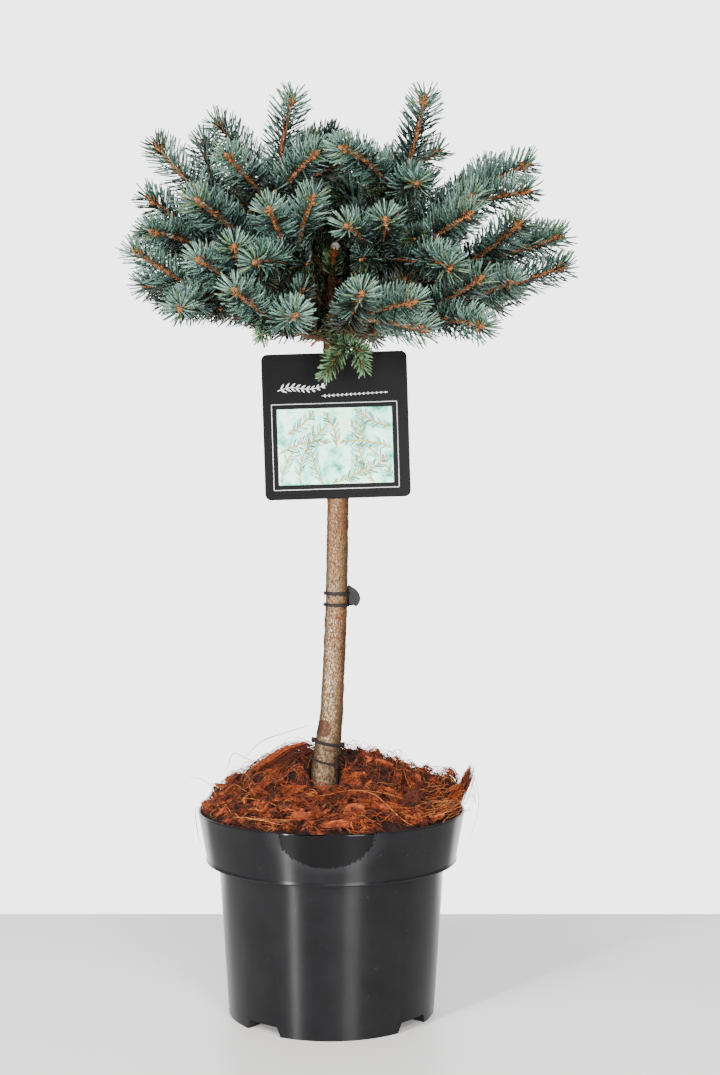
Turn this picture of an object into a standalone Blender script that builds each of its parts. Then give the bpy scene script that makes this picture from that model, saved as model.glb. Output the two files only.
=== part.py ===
# Blue spruce standard: a round crown grafted on a bare stem, in a black nursery pot.
# Metres, +Z up, +X right and +Y away from the viewer; the origin is the middle of the pot's underside.

import math
import random

import bmesh
import bpy
from mathutils import Vector, kdtree

GAP = 0.0003                       # left between any two pieces

# Pot: a body that tapers down to its foot, a step, and a deep flared rim
WALL = 0.0014
FOOT_RADIUS = 0.0852
BODY_RADIUS = 0.0934
BODY_TOP = 0.1262
RIM_LOW_RADIUS = 0.1032
RIM_RADIUS = 0.1104
RIM_TOP = 0.1676
FLOOR = 0.0020
DRAIN_HEADINGS = (51, 141, 231, 321)
DRAIN_WIDTH = 0.034
DRAIN_DEPTH = 0.024
DRAIN_HEIGHT = 0.008
DRAIN_LEAN = 0.75                  # a drain's width gains this much for each step down from its roof
DRAIN_ROOF_WIDTH = 0.029
DRAIN_HOLE_RADIUS = 0.005
POT_SIDES = 40
CUT = 0.010                        # how far a cutting tool stands out past what it cuts
SKIM = 0.0005                      # keeps two faces out of one plane while they are joined

# Growing medium and the heap of coir chips on it
SOIL_TOP = 0.150
HEAP_EDGE = 0.1672
HEAP_RISE_FRONT = 0.020
HEAP_RISE_BACK = 0.046
CLUMP_HEADING = 4
CLUMP_RISE = 0.026
DENT = 0.007                       # the heap sinks this much before the stem
DENT_REACH = 0.024
HEAP_RADII = (0.1072, 0.098, 0.083, 0.066, 0.048, 0.030)

# Stem: height, sideways lean and radius, from the flat cut at soil level to the cut leader
STEM = (
    (SOIL_TOP + GAP, -0.0075, 0.0126),
    (0.176, -0.0058, 0.0115),
    (0.192, -0.0060, 0.0113),
    (0.204, -0.0052, 0.0106),
    (0.214, -0.0036, 0.0110),
    (0.226, -0.0024, 0.0106),
    (0.246, 0.0000, 0.0094),
    (0.297, 0.0025, 0.0091),
    (0.335, 0.0041, 0.0090),
    (0.423, 0.0054, 0.0089),
    (0.500, 0.0042, 0.0087),
    (0.540, 0.0027, 0.0091),
    (0.558, 0.0021, 0.0092),
    (0.578, 0.0006, 0.0074),
    (0.592, -0.0004, 0.0048),
    (0.604, 0.0002, 0.0046),
    (0.616, 0.0018, 0.0040),
    (0.6325, 0.0034, 0.0035),
)
STEM_SIDES = 12
STEM_POINTS = 160                  # along it, when needles are kept off it

# Ties and plant label
TIE_THICKNESS = 0.0016
TIE_HEIGHT = 0.0033
UPPER_TIE = (0.3360, 0.3455)
LOWER_TIE = (0.2060, 0.2216)
LABEL_SIZE = 0.1195
LABEL_CENTRE = (0.0039, 0.4837)
LABEL_TURN = math.radians(1.8)
LABEL_THICKNESS = 0.0008
LABEL_CORNER = 0.005
STRAP_HEIGHT = 0.536
STRAP_WIDTH = 0.008
# The tabs that hold each tie's two bands: distance from the stem's middle line, height
HOOK = ((0.0099, 0.3505), (0.0146, 0.3476), (0.0184, 0.3440), (0.0202, 0.3400), (0.0198, 0.3365),
        (0.0160, 0.3325), (0.0124, 0.3352), (0.0099, 0.3348))
HOOK_DEPTH = 0.0045
BRIDGE = ((0.0117, 0.2228), (0.0138, 0.2206), (0.0138, 0.2073), (0.0117, 0.2050))
BRIDGE_DEPTH = 0.0050
BRIDGE_HEADING = 90

# Crown: shoots end about one reach away from its centre
CROWN_CENTRE = Vector((0.002, 0.0, 0.556))
CROWN_REACH = 0.190
PATH_STEPS = 40                    # in a leading shoot's path
BOUGH_STEPS = 16                   # of them that are bare bough
LIMB_STEPS = 4                     # of them in one stretch of its solid
BOUGH_RADIUS = 0.0031
BOUGH_TIP_RADIUS = 0.0022
CORE_RADIUS = 0.0031
CORE_SIDES = 4
SPRAY_LENGTH = 0.0185              # needles, drawn out of the core's faces
SPRAY_STEP = 0.0122                # between two rings of them
SPRAY_LEAN = math.radians(56)      # off the shoot's own direction
SHORTEST_SPRAY = 0.006

# Each bough: root height on the stem, sag, then its shoots, the leading one first.
# A shoot is (fork on the leading shoot, heading, rise, reach): degrees about the crown's
# centre, heading 0 at +X and 270 toward the viewer, and the reach as a share of CROWN_REACH.
BOUGHS = {
    "left_low": (0.5610, 12, ((0, 212, 18, 0.99), (0.50, 233, 2, 0.97), (0.62, 192, 14, 0.85))),
    "left_front_low": (0.5550, 10, ((0, 247, 6, 0.95), (0.50, 262, 0, 0.90))),
    "left_mid": (0.5770, 8, ((0, 205, 33, 1.00), (0.50, 218, 22, 0.99), (0.62, 186, 28, 0.92))),
    "left_high": (0.5975, 18, ((0, 199, 45, 1.11), (0.55, 178, 57, 1.03))),
    "left_front": (0.5675, 4, ((0, 236, 14, 0.95), (0.52, 247, 16, 0.97))),
    "left_front_mid": (0.5880, 2, ((0, 232, 29, 0.98), (0.55, 219, 34, 0.92))),
    "left_front_high": (0.6085, 0, ((0, 233, 44, 0.97), (0.45, 248, 66, 1.04), (0.48, 265, 49, 0.90))),
    "front_left": (0.5745, 6, ((0, 254, 26, 0.95), (0.50, 252, 12, 0.95), (0.52, 265, 33, 0.88))),
    "front_low": (0.5610, 8, ((0, 277, 4, 1.00), (0.55, 290, 3, 0.95), (0.58, 297, -3, 0.84))),
    "front_right": (0.5920, 10, ((0, 284, 23, 0.95), (0.55, 274, 22, 0.92))),
    "right_front_low": (0.5550, 10, ((0, 309, 10, 0.95), (0.52, 307, -2, 0.98))),
    "right_front": (0.5810, 4, ((0, 311, 27, 0.95), (0.48, 299, 11, 0.97), (0.55, 322, 36, 0.92))),
    "right_upright": (0.6105, 26, ((0, 312, 59, 1.10), (0.46, 297, 36, 0.92), (0.48, 273, 46, 0.95))),
    "right_low": (0.5640, 6, ((0, 343, 15, 1.05), (0.52, 328, 12, 0.88), (0.60, 4, 15, 0.82))),
    "right": (0.5750, 2, ((0, 345, 22, 1.07), (0.50, 328, 25, 1.00), (0.60, 2, 26, 1.03))),
    "right_high": (0.6000, 2, ((0, 346, 40, 1.11), (0.50, 337, 33, 1.05), (0.55, 12, 47, 1.05))),
    "left_back_high": (0.6170, 4, ((0, 168, 61, 1.10), (0.50, 100, 73, 0.95))),
    "right_back_high": (0.6190, 4, ((0, 50, 64, 0.95), (0.50, 18, 60, 0.98))),
}
# How far a bough's root is turned from its leading shoot's heading, to leave the cut leader in view
ROOT_TURNS = {
    "left_low": -7, "left_front": -8, "front_left": -8, "left_mid": -7, "left_front_mid": -20, "left_high": -9,
    "left_front_high": -28, "front_right": 31, "right_upright": 23,
}
# The side that the photograph hides, by one rule in two whorls: root height and how far each
# next root is above the last, headings, rise, reach
BACK_WHORLS = {
    "back_low": (0.5600, 0.0060, (34, 74, 112, 148), 19, 0.92),
    "back_mid": (0.5850, 0.0098, (48, 96, 142), 34, 1.00),
}

# Short green sprigs that hang before the label: a stem from the trunk, then where each one
# leaves it, its elbow and its tip, counted from there
SPRIG_ROOT = 0.5496
SPRIG_STEM = ((0.004, -0.032, 0.5510), (0.026, -0.060, 0.5400))
SPRIGS = (
    (0.60, (-0.004, -0.006, -0.004), (-0.016, -0.010, -0.025)),
    (0.72, (0.007, -0.006, -0.001), (0.011, -0.010, -0.018)),
)


# Materials and object handling

def material(name, colour, roughness, metallic=0.0):
    mat = bpy.data.materials.new(name)
    mat.use_nodes = True
    shader = mat.node_tree.nodes["Principled BSDF"]
    shader.inputs["Base Color"].default_value = (*colour, 1.0)
    shader.inputs["Roughness"].default_value = roughness
    shader.inputs["Metallic"].default_value = metallic
    return mat


def new_object(name, bm, mat=None):
    bmesh.ops.recalc_face_normals(bm, faces=bm.faces[:])
    mesh = bpy.data.meshes.new(name)
    bm.to_mesh(mesh)
    bm.free()
    obj = bpy.data.objects.new(name, mesh)
    bpy.context.scene.collection.objects.link(obj)
    if mat:
        mesh.materials.append(mat)
    return obj


def apply_modifiers(obj):
    graph = bpy.context.evaluated_depsgraph_get()
    mesh = bpy.data.meshes.new_from_object(obj.evaluated_get(graph))
    old = obj.data
    obj.modifiers.clear()
    obj.data = mesh
    bpy.data.meshes.remove(old)


def boolean(obj, other, operation):
    """Joins or cuts obj with one tool object, which is then removed."""
    step = obj.modifiers.new(operation.lower(), "BOOLEAN")
    step.operation = operation
    step.object = other
    apply_modifiers(obj)
    bpy.data.objects.remove(other)


def fuse(name, pieces, mat):
    """One Boolean union on a collection makes one closed body of the pieces."""
    first = pieces[0]
    first.name = name
    first.data.name = name
    if len(pieces) > 1:
        group = bpy.data.collections.new(name + "_pieces")
        bpy.context.scene.collection.children.link(group)
        for piece in pieces[1:]:
            bpy.context.scene.collection.objects.unlink(piece)
            group.objects.link(piece)
        step = first.modifiers.new("union", "BOOLEAN")
        step.operation = "UNION"
        step.operand_type = "COLLECTION"
        step.collection = group
        apply_modifiers(first)
        for piece in pieces[1:]:
            bpy.data.objects.remove(piece)
        bpy.data.collections.remove(group)
    keep_body(first)
    first.data.materials.clear()
    first.data.materials.append(mat)
    return first


def keep_body(obj):
    """Fills hollows that fusing sealed, and drops loose scraps: the largest shell stays."""
    bm = bmesh.new()
    bm.from_mesh(obj.data)
    left = set(bm.faces)
    shells = []
    while left:
        shell = {left.pop()}
        edge_of_shell = list(shell)
        while edge_of_shell:
            face = edge_of_shell.pop()
            near = {other for edge in face.edges for other in edge.link_faces} & left
            left -= near
            shell |= near
            edge_of_shell += near
        shells.append(shell)
    shells.sort(key=len)
    for shell in shells[:-1]:
        bmesh.ops.delete(bm, geom=list(shell), context="FACES")
    bm.to_mesh(obj.data)
    bm.free()


# Shapes

def lathe(name, profile, segments, mat=None):
    """Turns an outline of (radius, height) that starts and ends on the axis."""
    bm = bmesh.new()
    rings = []
    for radius, height in profile:
        if radius == 0:
            rings.append([bm.verts.new((0, 0, height))])
            continue
        turn = (math.tau * k / segments for k in range(segments))
        rings.append([bm.verts.new((radius * math.cos(a), radius * math.sin(a), height)) for a in turn])
    for low, high in zip(rings, rings[1:]):
        for k in range(segments):
            corners = [low[k % len(low)], low[(k + 1) % len(low)], high[(k + 1) % len(high)], high[k % len(high)]]
            bm.faces.new(list(dict.fromkeys(corners)))
    return new_object(name, bm, mat)


def stem_band(name, clear, thickness, low, high):
    """A band that follows the stem's own faces."""
    bm = bmesh.new()
    loops = []
    for offset, height in ((clear, low), (clear + thickness, low), (clear + thickness, high), (clear, high)):
        lean, radius = between(STEM, height)
        loops.append(stem_loop(bm, lean, radius + offset, height))
    for here, there in zip(loops, loops[1:] + loops[:1]):
        for k in range(STEM_SIDES):
            n = (k + 1) % STEM_SIDES
            bm.faces.new((here[k], here[n], there[n], there[k]))
    return new_object(name, bm)


def stem_loop(bm, lean, radius, height):
    turn = (math.tau * k / STEM_SIDES for k in range(STEM_SIDES))
    return [bm.verts.new((lean + radius * math.cos(a), radius * math.sin(a), height)) for a in turn]


def make_trunk(mat):
    """The whole stem in level rings, from its cut foot to the cut leader."""
    bm = bmesh.new()
    loops = [stem_loop(bm, lean, radius, height) for height, lean, radius in STEM]
    for low, high in zip(loops, loops[1:]):
        for k in range(STEM_SIDES):
            n = (k + 1) % STEM_SIDES
            bm.faces.new((low[k], low[n], high[n], high[k]))
    bm.faces.new(loops[0][::-1])
    bm.faces.new(loops[-1])
    return new_object("trunk", bm, mat)


def box(name, size, centre, heading, lean=0.0):
    """A box whose width grows downward by lean times the depth."""
    bm = bmesh.new()
    bmesh.ops.create_cube(bm, size=1.0)
    for vert in bm.verts:
        width = size[1] + (lean * size[2] if vert.co.z < 0 else 0)
        vert.co = Vector((vert.co.x * size[0], vert.co.y * width, vert.co.z * size[2]))
    obj = new_object(name, bm)
    obj.location = centre
    obj.rotation_euler.z = math.radians(heading)
    return obj


def polar(radius, heading, height):
    angle = math.radians(heading)
    return Vector((radius * math.cos(angle), radius * math.sin(angle), height))


def direction(heading, rise):
    lift = math.radians(rise)
    flat = polar(math.cos(lift), heading, 0.0)
    return Vector((flat.x, flat.y, math.sin(lift)))


def between(table, height):
    """Lean and radius of the stem at a height."""
    for low, high in zip(table, table[1:]):
        if height <= high[0]:
            share = (height - low[0]) / (high[0] - low[0])
            return [a + (b - a) * share for a, b in zip(low[1:], high[1:])]
    return list(table[-1][1:])


def curve(start, elbow, end, count):
    points = []
    for k in range(count):
        t = k / (count - 1)
        points.append((1 - t) ** 2 * start + 2 * t * (1 - t) * elbow + t * t * end)
    return points


def frames(path):
    """A direction and two crossing directions at each point of a path, carried on without twist."""
    result = []
    side = None
    for k, point in enumerate(path):
        along = (path[min(k + 1, len(path) - 1)] - path[max(k - 1, 0)]).normalized()
        if side is None:
            side = along.orthogonal().normalized()
        side = (side - along * side.dot(along)).normalized()
        result.append((along, side, along.cross(side)))
    return result


def resample(path, step):
    """Points at even spacing along a path, with its two ends."""
    lengths = [0.0]
    for a, b in zip(path, path[1:]):
        lengths.append(lengths[-1] + (b - a).length)
    count = max(2, round(lengths[-1] / step))
    points = []
    k = 0
    for n in range(count + 1):
        target = lengths[-1] * n / count
        while k < len(path) - 2 and lengths[k + 1] < target:
            k += 1
        share = (target - lengths[k]) / (lengths[k + 1] - lengths[k])
        points.append(path[k].lerp(path[k + 1], min(1.0, share)))
    return points


def limb(name, path, radii, sides, mat=None):
    """A round tapering limb, cut upright where it meets the stem."""
    bm = bmesh.new()
    rings = []
    face = Vector((path[0].x, path[0].y, 0)).normalized()
    for k, (point, radius, (along, side, up)) in enumerate(zip(path, radii, frames(path))):
        turn = (math.tau * j / sides for j in range(sides))
        spots = [point + radius * (math.cos(a) * side + math.sin(a) * up) for a in turn]
        if k == 0:
            spots = [spot + along * ((point - spot).dot(face) / along.dot(face)) for spot in spots]
        rings.append([bm.verts.new(spot) for spot in spots])
    for low, high in zip(rings, rings[1:]):
        for k in range(sides):
            n = (k + 1) % sides
            bm.faces.new((low[k], low[n], high[n], high[k]))
    bm.faces.new(rings[0][::-1])
    bm.faces.new(rings[-1])
    return new_object(name, bm, mat)


# Pot, growing medium and heap

def make_pot(mat):
    profile = [
        (0, 0), (FOOT_RADIUS - 0.0015, 0), (FOOT_RADIUS, 0.0015),
        (BODY_RADIUS, BODY_TOP + 0.0006), (RIM_LOW_RADIUS - 0.0016, BODY_TOP - 0.0008),
        (RIM_LOW_RADIUS, BODY_TOP), (RIM_RADIUS - 0.0004, RIM_TOP - 0.0030),
        (RIM_RADIUS, RIM_TOP - 0.0008), (RIM_RADIUS - 0.0009, RIM_TOP),
        (RIM_RADIUS - 0.0019, RIM_TOP - 0.0012),
        (RIM_LOW_RADIUS - 0.0016, BODY_TOP + 0.0018), (BODY_RADIUS - WALL, BODY_TOP + 0.0018),
        (FOOT_RADIUS - WALL, FLOOR), (0, FLOOR),
    ]
    pot = lathe("pot", profile, POT_SIDES, mat)
    length = DRAIN_DEPTH + WALL
    inner_end = FOOT_RADIUS - DRAIN_DEPTH
    wall_inside = FOOT_RADIUS - WALL / 2
    for heading in DRAIN_HEADINGS:
        # A raised channel across the foot, with a drain hole in its roof
        middle = polar(inner_end - WALL + length / 2, heading, (DRAIN_HEIGHT + WALL + SKIM) / 2)
        housing = box("housing", (length, DRAIN_WIDTH + 2 * WALL, DRAIN_HEIGHT + WALL - SKIM), middle, heading)
        inside = [(0, -CUT), (wall_inside, -CUT), (wall_inside, 2 * CUT), (0, 2 * CUT)]
        boolean(housing, lathe("inside", inside, POT_SIDES), "INTERSECT")
        boolean(pot, housing, "UNION")
        middle = polar(inner_end + DRAIN_DEPTH, heading, (DRAIN_HEIGHT - CUT) / 2)
        size = (2 * DRAIN_DEPTH, DRAIN_ROOF_WIDTH, DRAIN_HEIGHT + CUT)
        boolean(pot, box("notch", size, middle, heading, DRAIN_LEAN), "DIFFERENCE")
        low, high = DRAIN_HEIGHT / 2, DRAIN_HEIGHT + 4 * WALL
        hole = lathe("hole", [(0, low), (DRAIN_HOLE_RADIUS, low), (DRAIN_HOLE_RADIUS, high), (0, high)], 12)
        hole.location = polar(inner_end + 2 * DRAIN_HOLE_RADIUS, heading, 0)
        boolean(pot, hole, "DIFFERENCE")
    return pot


def make_root_ball(mat):
    profile = [
        (0, FLOOR + GAP), (FOOT_RADIUS - WALL - 0.0004, FLOOR + GAP),
        (BODY_RADIUS - WALL - 0.0004, BODY_TOP + 0.0018), (BODY_RADIUS - WALL - 0.0004, BODY_TOP + 0.0018 + GAP),
        (RIM_LOW_RADIUS - 0.0020, BODY_TOP + 0.0018 + GAP), (RIM_LOW_RADIUS + 0.0021, SOIL_TOP), (0, SOIL_TOP),
    ]
    ball = lathe("root_ball", profile, POT_SIDES, mat)
    inner_end = FOOT_RADIUS - DRAIN_DEPTH - WALL - 2 * GAP
    height = DRAIN_HEIGHT + WALL + GAP
    length = DRAIN_DEPTH + 3 * CUT
    for heading in DRAIN_HEADINGS:
        middle = polar(inner_end + length / 2, heading, (height - CUT) / 2)
        space = box("space", (length, DRAIN_WIDTH + 2 * WALL + 4 * GAP, height + CUT), middle, heading)
        boolean(ball, space, "DIFFERENCE")
    return ball


def toward_back(radius, heading):
    y = radius * math.sin(math.radians(heading))
    share = max(0.0, min(1.0, (y + 0.028) / 0.056))
    return share * share * (3 - 2 * share)


def heap_height(radius, heading, rng):
    share = min(1.0, radius / 0.109)
    back = toward_back(radius, heading)
    rise = HEAP_RISE_FRONT + (HEAP_RISE_BACK - HEAP_RISE_FRONT) * back
    height = HEAP_EDGE + rise * max(0.0, 1 - share * share) ** 0.8
    turned = (heading - CLUMP_HEADING + 180) % 360 - 180
    height += CLUMP_RISE * math.exp(-(turned / 9) ** 2 - ((radius - 0.103) / 0.012) ** 2)
    height -= DENT * (1 - back) * math.exp(-(radius / DENT_REACH) ** 2)
    return height + rng.uniform(-0.0032, 0.0038) * (1 if radius < 0.1 else 0.3)


def make_heap(mat):
    """Coir chips heaped over the medium, open round the stem's foot."""
    rng = random.Random(11)
    segments = 36
    rings = []
    bm = bmesh.new()
    lean, stem_radius = between(STEM, 0.176)
    for radius, height in ((RIM_LOW_RADIUS + 0.0018, SOIL_TOP + GAP), (RIM_RADIUS - 0.0026, HEAP_EDGE - 0.0020)):
        rings.append([bm.verts.new(polar(radius, 360 * k / segments, height)) for k in range(segments)])
    for radius in HEAP_RADII:
        loop = []
        for k in range(segments):
            heading = 360 * k / segments
            spot = polar(radius + rng.uniform(-0.001, 0.001) * (radius < 0.1), heading, 0)
            spot.z = heap_height(radius, heading, rng)
            loop.append(bm.verts.new(spot))
        rings.append(loop)
    for height in (None, SOIL_TOP + GAP):
        loop = []
        for k in range(segments):
            heading = 360 * k / segments
            inner = stem_radius + 0.0018 + 0.0036 * toward_back(0.02, heading)
            spot = polar(inner, heading, 0)
            spot.x += lean
            spot.z = height or heap_height(inner, heading, rng) - 0.003
            loop.append(bm.verts.new(spot))
        rings.append(loop)
    for here, there in zip(rings, rings[1:] + rings[:1]):
        for k in range(segments):
            n = (k + 1) % segments
            bm.faces.new((here[k], here[n], there[n], there[k]))
    return new_object("mulch", bm, mat)


# Ties and label

def make_tie(name, heights, tab_points, tab_depth, heading, mat):
    """Two bands round the stem, held by one tab that is drawn as if it stood at the right."""
    pieces = []
    for height in heights:
        low = height - TIE_HEIGHT / 2
        pieces.append(stem_band("band", GAP, TIE_THICKNESS, low, low + TIE_HEIGHT))
    bm = bmesh.new()
    front = [bm.verts.new((x, -tab_depth / 2, z)) for x, z in tab_points]
    back = [bm.verts.new((x, tab_depth / 2, z)) for x, z in tab_points]
    bm.faces.new(front)
    bm.faces.new(back[::-1])
    for k in range(len(front)):
        n = (k + 1) % len(front)
        bm.faces.new((front[n], front[k], back[k], back[n]))
    middle, _ = between(STEM, sum(heights) / 2)
    for vert in bm.verts:
        spot = polar(vert.co.x, heading, vert.co.z) + polar(vert.co.y, heading + 90, 0)
        vert.co = spot + Vector((middle, 0, 0))
    pieces.append(new_object("tab", bm))
    return fuse(name, pieces, mat)


def make_label(mat):
    """A square card with round corners before the stem, on a strap round it."""
    half = LABEL_SIZE / 2
    widest = max(radius for height, _, radius in STEM if 0.42 < height < 0.55)
    back = -(widest + GAP)
    bm = bmesh.new()
    outline = []
    for corner in range(4):
        centre_x = (half - LABEL_CORNER) * (1, -1, -1, 1)[corner]
        centre_z = (half - LABEL_CORNER) * (1, 1, -1, -1)[corner]
        for step in range(5):
            angle = math.radians(90 * corner + 22.5 * step)
            x = centre_x + LABEL_CORNER * math.cos(angle)
            z = centre_z + LABEL_CORNER * math.sin(angle)
            outline.append((x * math.cos(LABEL_TURN) - z * math.sin(LABEL_TURN) + LABEL_CENTRE[0],
                            x * math.sin(LABEL_TURN) + z * math.cos(LABEL_TURN) + LABEL_CENTRE[1]))
    front = [bm.verts.new((x, back - LABEL_THICKNESS, z)) for x, z in outline]
    rear = [bm.verts.new((x, back, z)) for x, z in outline]
    bm.faces.new(front)
    bm.faces.new(rear[::-1])
    for k in range(len(front)):
        n = (k + 1) % len(front)
        bm.faces.new((front[n], front[k], rear[k], rear[n]))
    card = new_object("label", bm)
    low = STRAP_HEIGHT - STRAP_WIDTH / 2
    strap = stem_band("strap", GAP, LABEL_THICKNESS, low, low + STRAP_WIDTH)
    return fuse("label", [card, strap], mat)


# Crown

def shoot_paths(root_height, sag, shoots, turn=0):
    """Centre lines of a bough's shoots; the first runs from the stem to its tip."""
    _, heading, rise, share = shoots[0]
    foot = root_height - BOUGH_RADIUS / math.cos(math.radians(rise - sag))
    lean, _ = between(STEM, root_height)
    foot_lean, radius = between(STEM, foot)
    tip = CROWN_CENTRE + CROWN_REACH * share * direction(heading, rise)
    start = polar(radius + abs(lean - foot_lean) + GAP, heading + turn, root_height) + Vector((lean, 0, 0))
    elbow = start + 0.5 * (tip - start).length * direction(heading + turn / 2, rise - sag)
    leading = curve(start, elbow, tip, PATH_STEPS + 1)
    paths = [leading]
    for fork, heading, rise, share in shoots[1:]:
        at = round(fork * PATH_STEPS)
        foot = leading[at]
        along = (leading[at + 1] - leading[at - 1]).normalized()
        tip = CROWN_CENTRE + CROWN_REACH * share * direction(heading, rise)
        toward = (tip - foot).normalized()
        elbow = foot + 0.45 * (tip - foot).length * (0.35 * along + 0.65 * toward).normalized()
        paths.append(curve(foot, elbow, tip, 31))
    return paths


def all_boughs():
    boughs = dict(BOUGHS)
    for name, (height, stagger, headings, rise, reach) in BACK_WHORLS.items():
        for k, heading in enumerate(headings):
            lift = rise + 4 * (k % 2)
            shoots = [(0, heading, lift, reach), (0.50, heading + 18, lift - 7, 0.95 * reach),
                      (0.58, heading - 17, lift + 5, 0.96 * reach)]
            if name == "back_mid":
                shoots.append((0.47, heading - 2, lift + 18, reach))
            boughs[f"{name}_{k + 1}"] = (height + stagger * (k % 3), 6, tuple(shoots))
    return boughs


def sprig_paths():
    lean, radius = between(STEM, SPRIG_ROOT)
    start = Vector((lean, -(radius + 2 * GAP), SPRIG_ROOT))
    paths = [curve(start, Vector(SPRIG_STEM[0]), Vector(SPRIG_STEM[1]), 26)]
    for fork, elbow, tip in SPRIGS:
        foot = paths[0][round(fork * 25)]
        paths.append(curve(foot, foot + Vector(elbow), foot + Vector(tip), 15))
    return paths


class Space:
    """Which points a mass may fill: nearer to its own shoots than to any other's, and off the wood."""

    def __init__(self, own, others, wood):
        self.own = self.tree(own)
        self.others = self.tree(others)
        self.wood = self.tree([point for point, _ in wood])
        self.wood_radius = [radius for _, radius in wood]

    @staticmethod
    def tree(points):
        tree = kdtree.KDTree(len(points))
        for k, point in enumerate(points):
            tree.insert(point, k)
        tree.balance()
        return tree

    def free(self, point, half_width):
        own = self.own.find(point)[2]
        other = self.others.find(point)[2]
        if other - own < 2 * half_width + 3 * GAP:
            return False
        for _, index, distance in self.wood.find_n(point, 3):
            if distance < self.wood_radius[index] + half_width + 2 * GAP:
                return False
        return True

    def reach(self, root, tip, half_width):
        """How much of the way from root to tip is free, for a spray that narrows to its tip."""
        steps = 8
        for k in range(1, steps + 1):
            share = k / steps
            if not self.free(root.lerp(tip, share), half_width * (1 - share) + 0.0001):
                return (k - 1) / steps
        return 1.0


def spray_shoot(path, space, rng, bare_length, spray_length, first):
    """A slim core whose faces are drawn out into sprays of needles."""
    stations = resample(path, SPRAY_STEP)
    axes = frames(stations)
    count = len(stations)
    length = sum((b - a).length for a, b in zip(stations, stations[1:]))
    bm = bmesh.new()
    rings = []
    for k, (point, (_, side, up)) in enumerate(zip(stations, axes)):
        share = k / (count - 1)
        radius = CORE_RADIUS * min(1.0, 0.62 + 2.0 * share, 0.5 + 3.0 * (1 - share))
        if k == 0 and first:
            radius = BOUGH_TIP_RADIUS
        offset = 0.5 * (k % 2)
        turn = (math.tau * (j + offset) / CORE_SIDES for j in range(CORE_SIDES))
        rings.append([bm.verts.new(point + radius * (math.cos(a) * side + math.sin(a) * up)) for a in turn])
    bm.faces.new(rings[0][::-1])
    end = stations[-1] + axes[-1][0] * 0.005
    point = bm.verts.new(end)
    for j in range(CORE_SIDES):
        bm.faces.new((rings[-1][j], rings[-1][(j + 1) % CORE_SIDES], point))
    for k in range(count - 1):
        low, high = rings[k], rings[k + 1]
        shift = k % 2
        along = axes[k][0]
        share = (k + 0.5) / (count - 1)
        for j in range(CORE_SIDES):
            n = (j + 1) % CORE_SIDES
            # One triangle points forward and is drawn out, the other stays flat
            forward = (low[j], low[n], high[(j + shift) % CORE_SIDES])
            flat = (low[n], high[(n + shift) % CORE_SIDES], high[(j + shift) % CORE_SIDES])
            bm.faces.new(flat)
            root = (forward[0].co + forward[1].co + forward[2].co) / 3
            outward = (root - stations[k].lerp(stations[k + 1], 0.5))
            outward = (outward - along * outward.dot(along)).normalized()
            lean = SPRAY_LEAN * (1.0 - 0.35 * max(0.0, share - 0.6) / 0.4) + rng.uniform(-0.14, 0.14)
            size = spray_length * rng.uniform(0.86, 1.0) * (1.0 - 0.22 * max(0.0, share - 0.7) / 0.3)
            lift = Vector((0, 0, 0.22 * (1 - abs(outward.z))))
            aim = (math.cos(lean) * along + math.sin(lean) * outward + lift).normalized()
            tip = root + size * aim
            part = space.reach(root, tip, 0.0024) if share * length >= bare_length else 0.0
            if part * size < SHORTEST_SPRAY:
                bm.faces.new(forward)
                continue
            apex = bm.verts.new(root + part * size * aim)
            for a, b in ((0, 1), (1, 2), (2, 0)):
                bm.faces.new((forward[a], forward[b], apex))
    return new_object("shoot", bm)


def make_crown(bough_mat, needle_mat, sprig_mat):
    boughs = {name: shoot_paths(*row, ROOT_TURNS.get(name, 0)) for name, row in all_boughs().items()}
    wood = []
    for k in range(STEM_POINTS):
        height = STEM[0][0] + (STEM[-1][0] - STEM[0][0]) * k / (STEM_POINTS - 1)
        lean, radius = between(STEM, height)
        wood.append((Vector((lean, 0, height)), radius))
    limbs = {}
    for name, paths in boughs.items():
        limb_path = paths[0][:BOUGH_STEPS + 1]
        slimming = (BOUGH_TIP_RADIUS - BOUGH_RADIUS) / BOUGH_STEPS
        radii = [BOUGH_RADIUS + slimming * k for k in range(BOUGH_STEPS + 1)]
        limbs[name] = (limb_path, radii)
        wood += list(zip(limb_path, radii))
    masses = {}
    for name, paths in boughs.items():
        leading = paths[0][BOUGH_STEPS:]
        along = (leading[1] - leading[0]).normalized()
        leading = [leading[0] + along * GAP] + leading[1:]
        masses[name] = [leading] + paths[1:]
    masses["hanging_sprigs"] = sprig_paths()
    points = {name: [p for path in paths for p in resample(path, 0.0015)] for name, paths in masses.items()}
    for name, (path, radii) in limbs.items():
        limb("bough_" + name, path[::LIMB_STEPS], radii[::LIMB_STEPS], 6, bough_mat)
    for number, (name, paths) in enumerate(masses.items()):
        others = [p for other, cloud in points.items() if other != name for p in cloud]
        space = Space(points[name], others, wood)
        rng = random.Random(100 + number)
        small = name == "hanging_sprigs"
        pieces = []
        for k, path in enumerate(paths):
            bare = 0.012 if k == 0 else 0.010
            size = SPRAY_LENGTH * (0.62 if small else 1.0)
            pieces.append(spray_shoot(path, space, rng, bare, size, k == 0))
        fuse("mass_" + name, pieces, sprig_mat if small else needle_mat)


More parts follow.
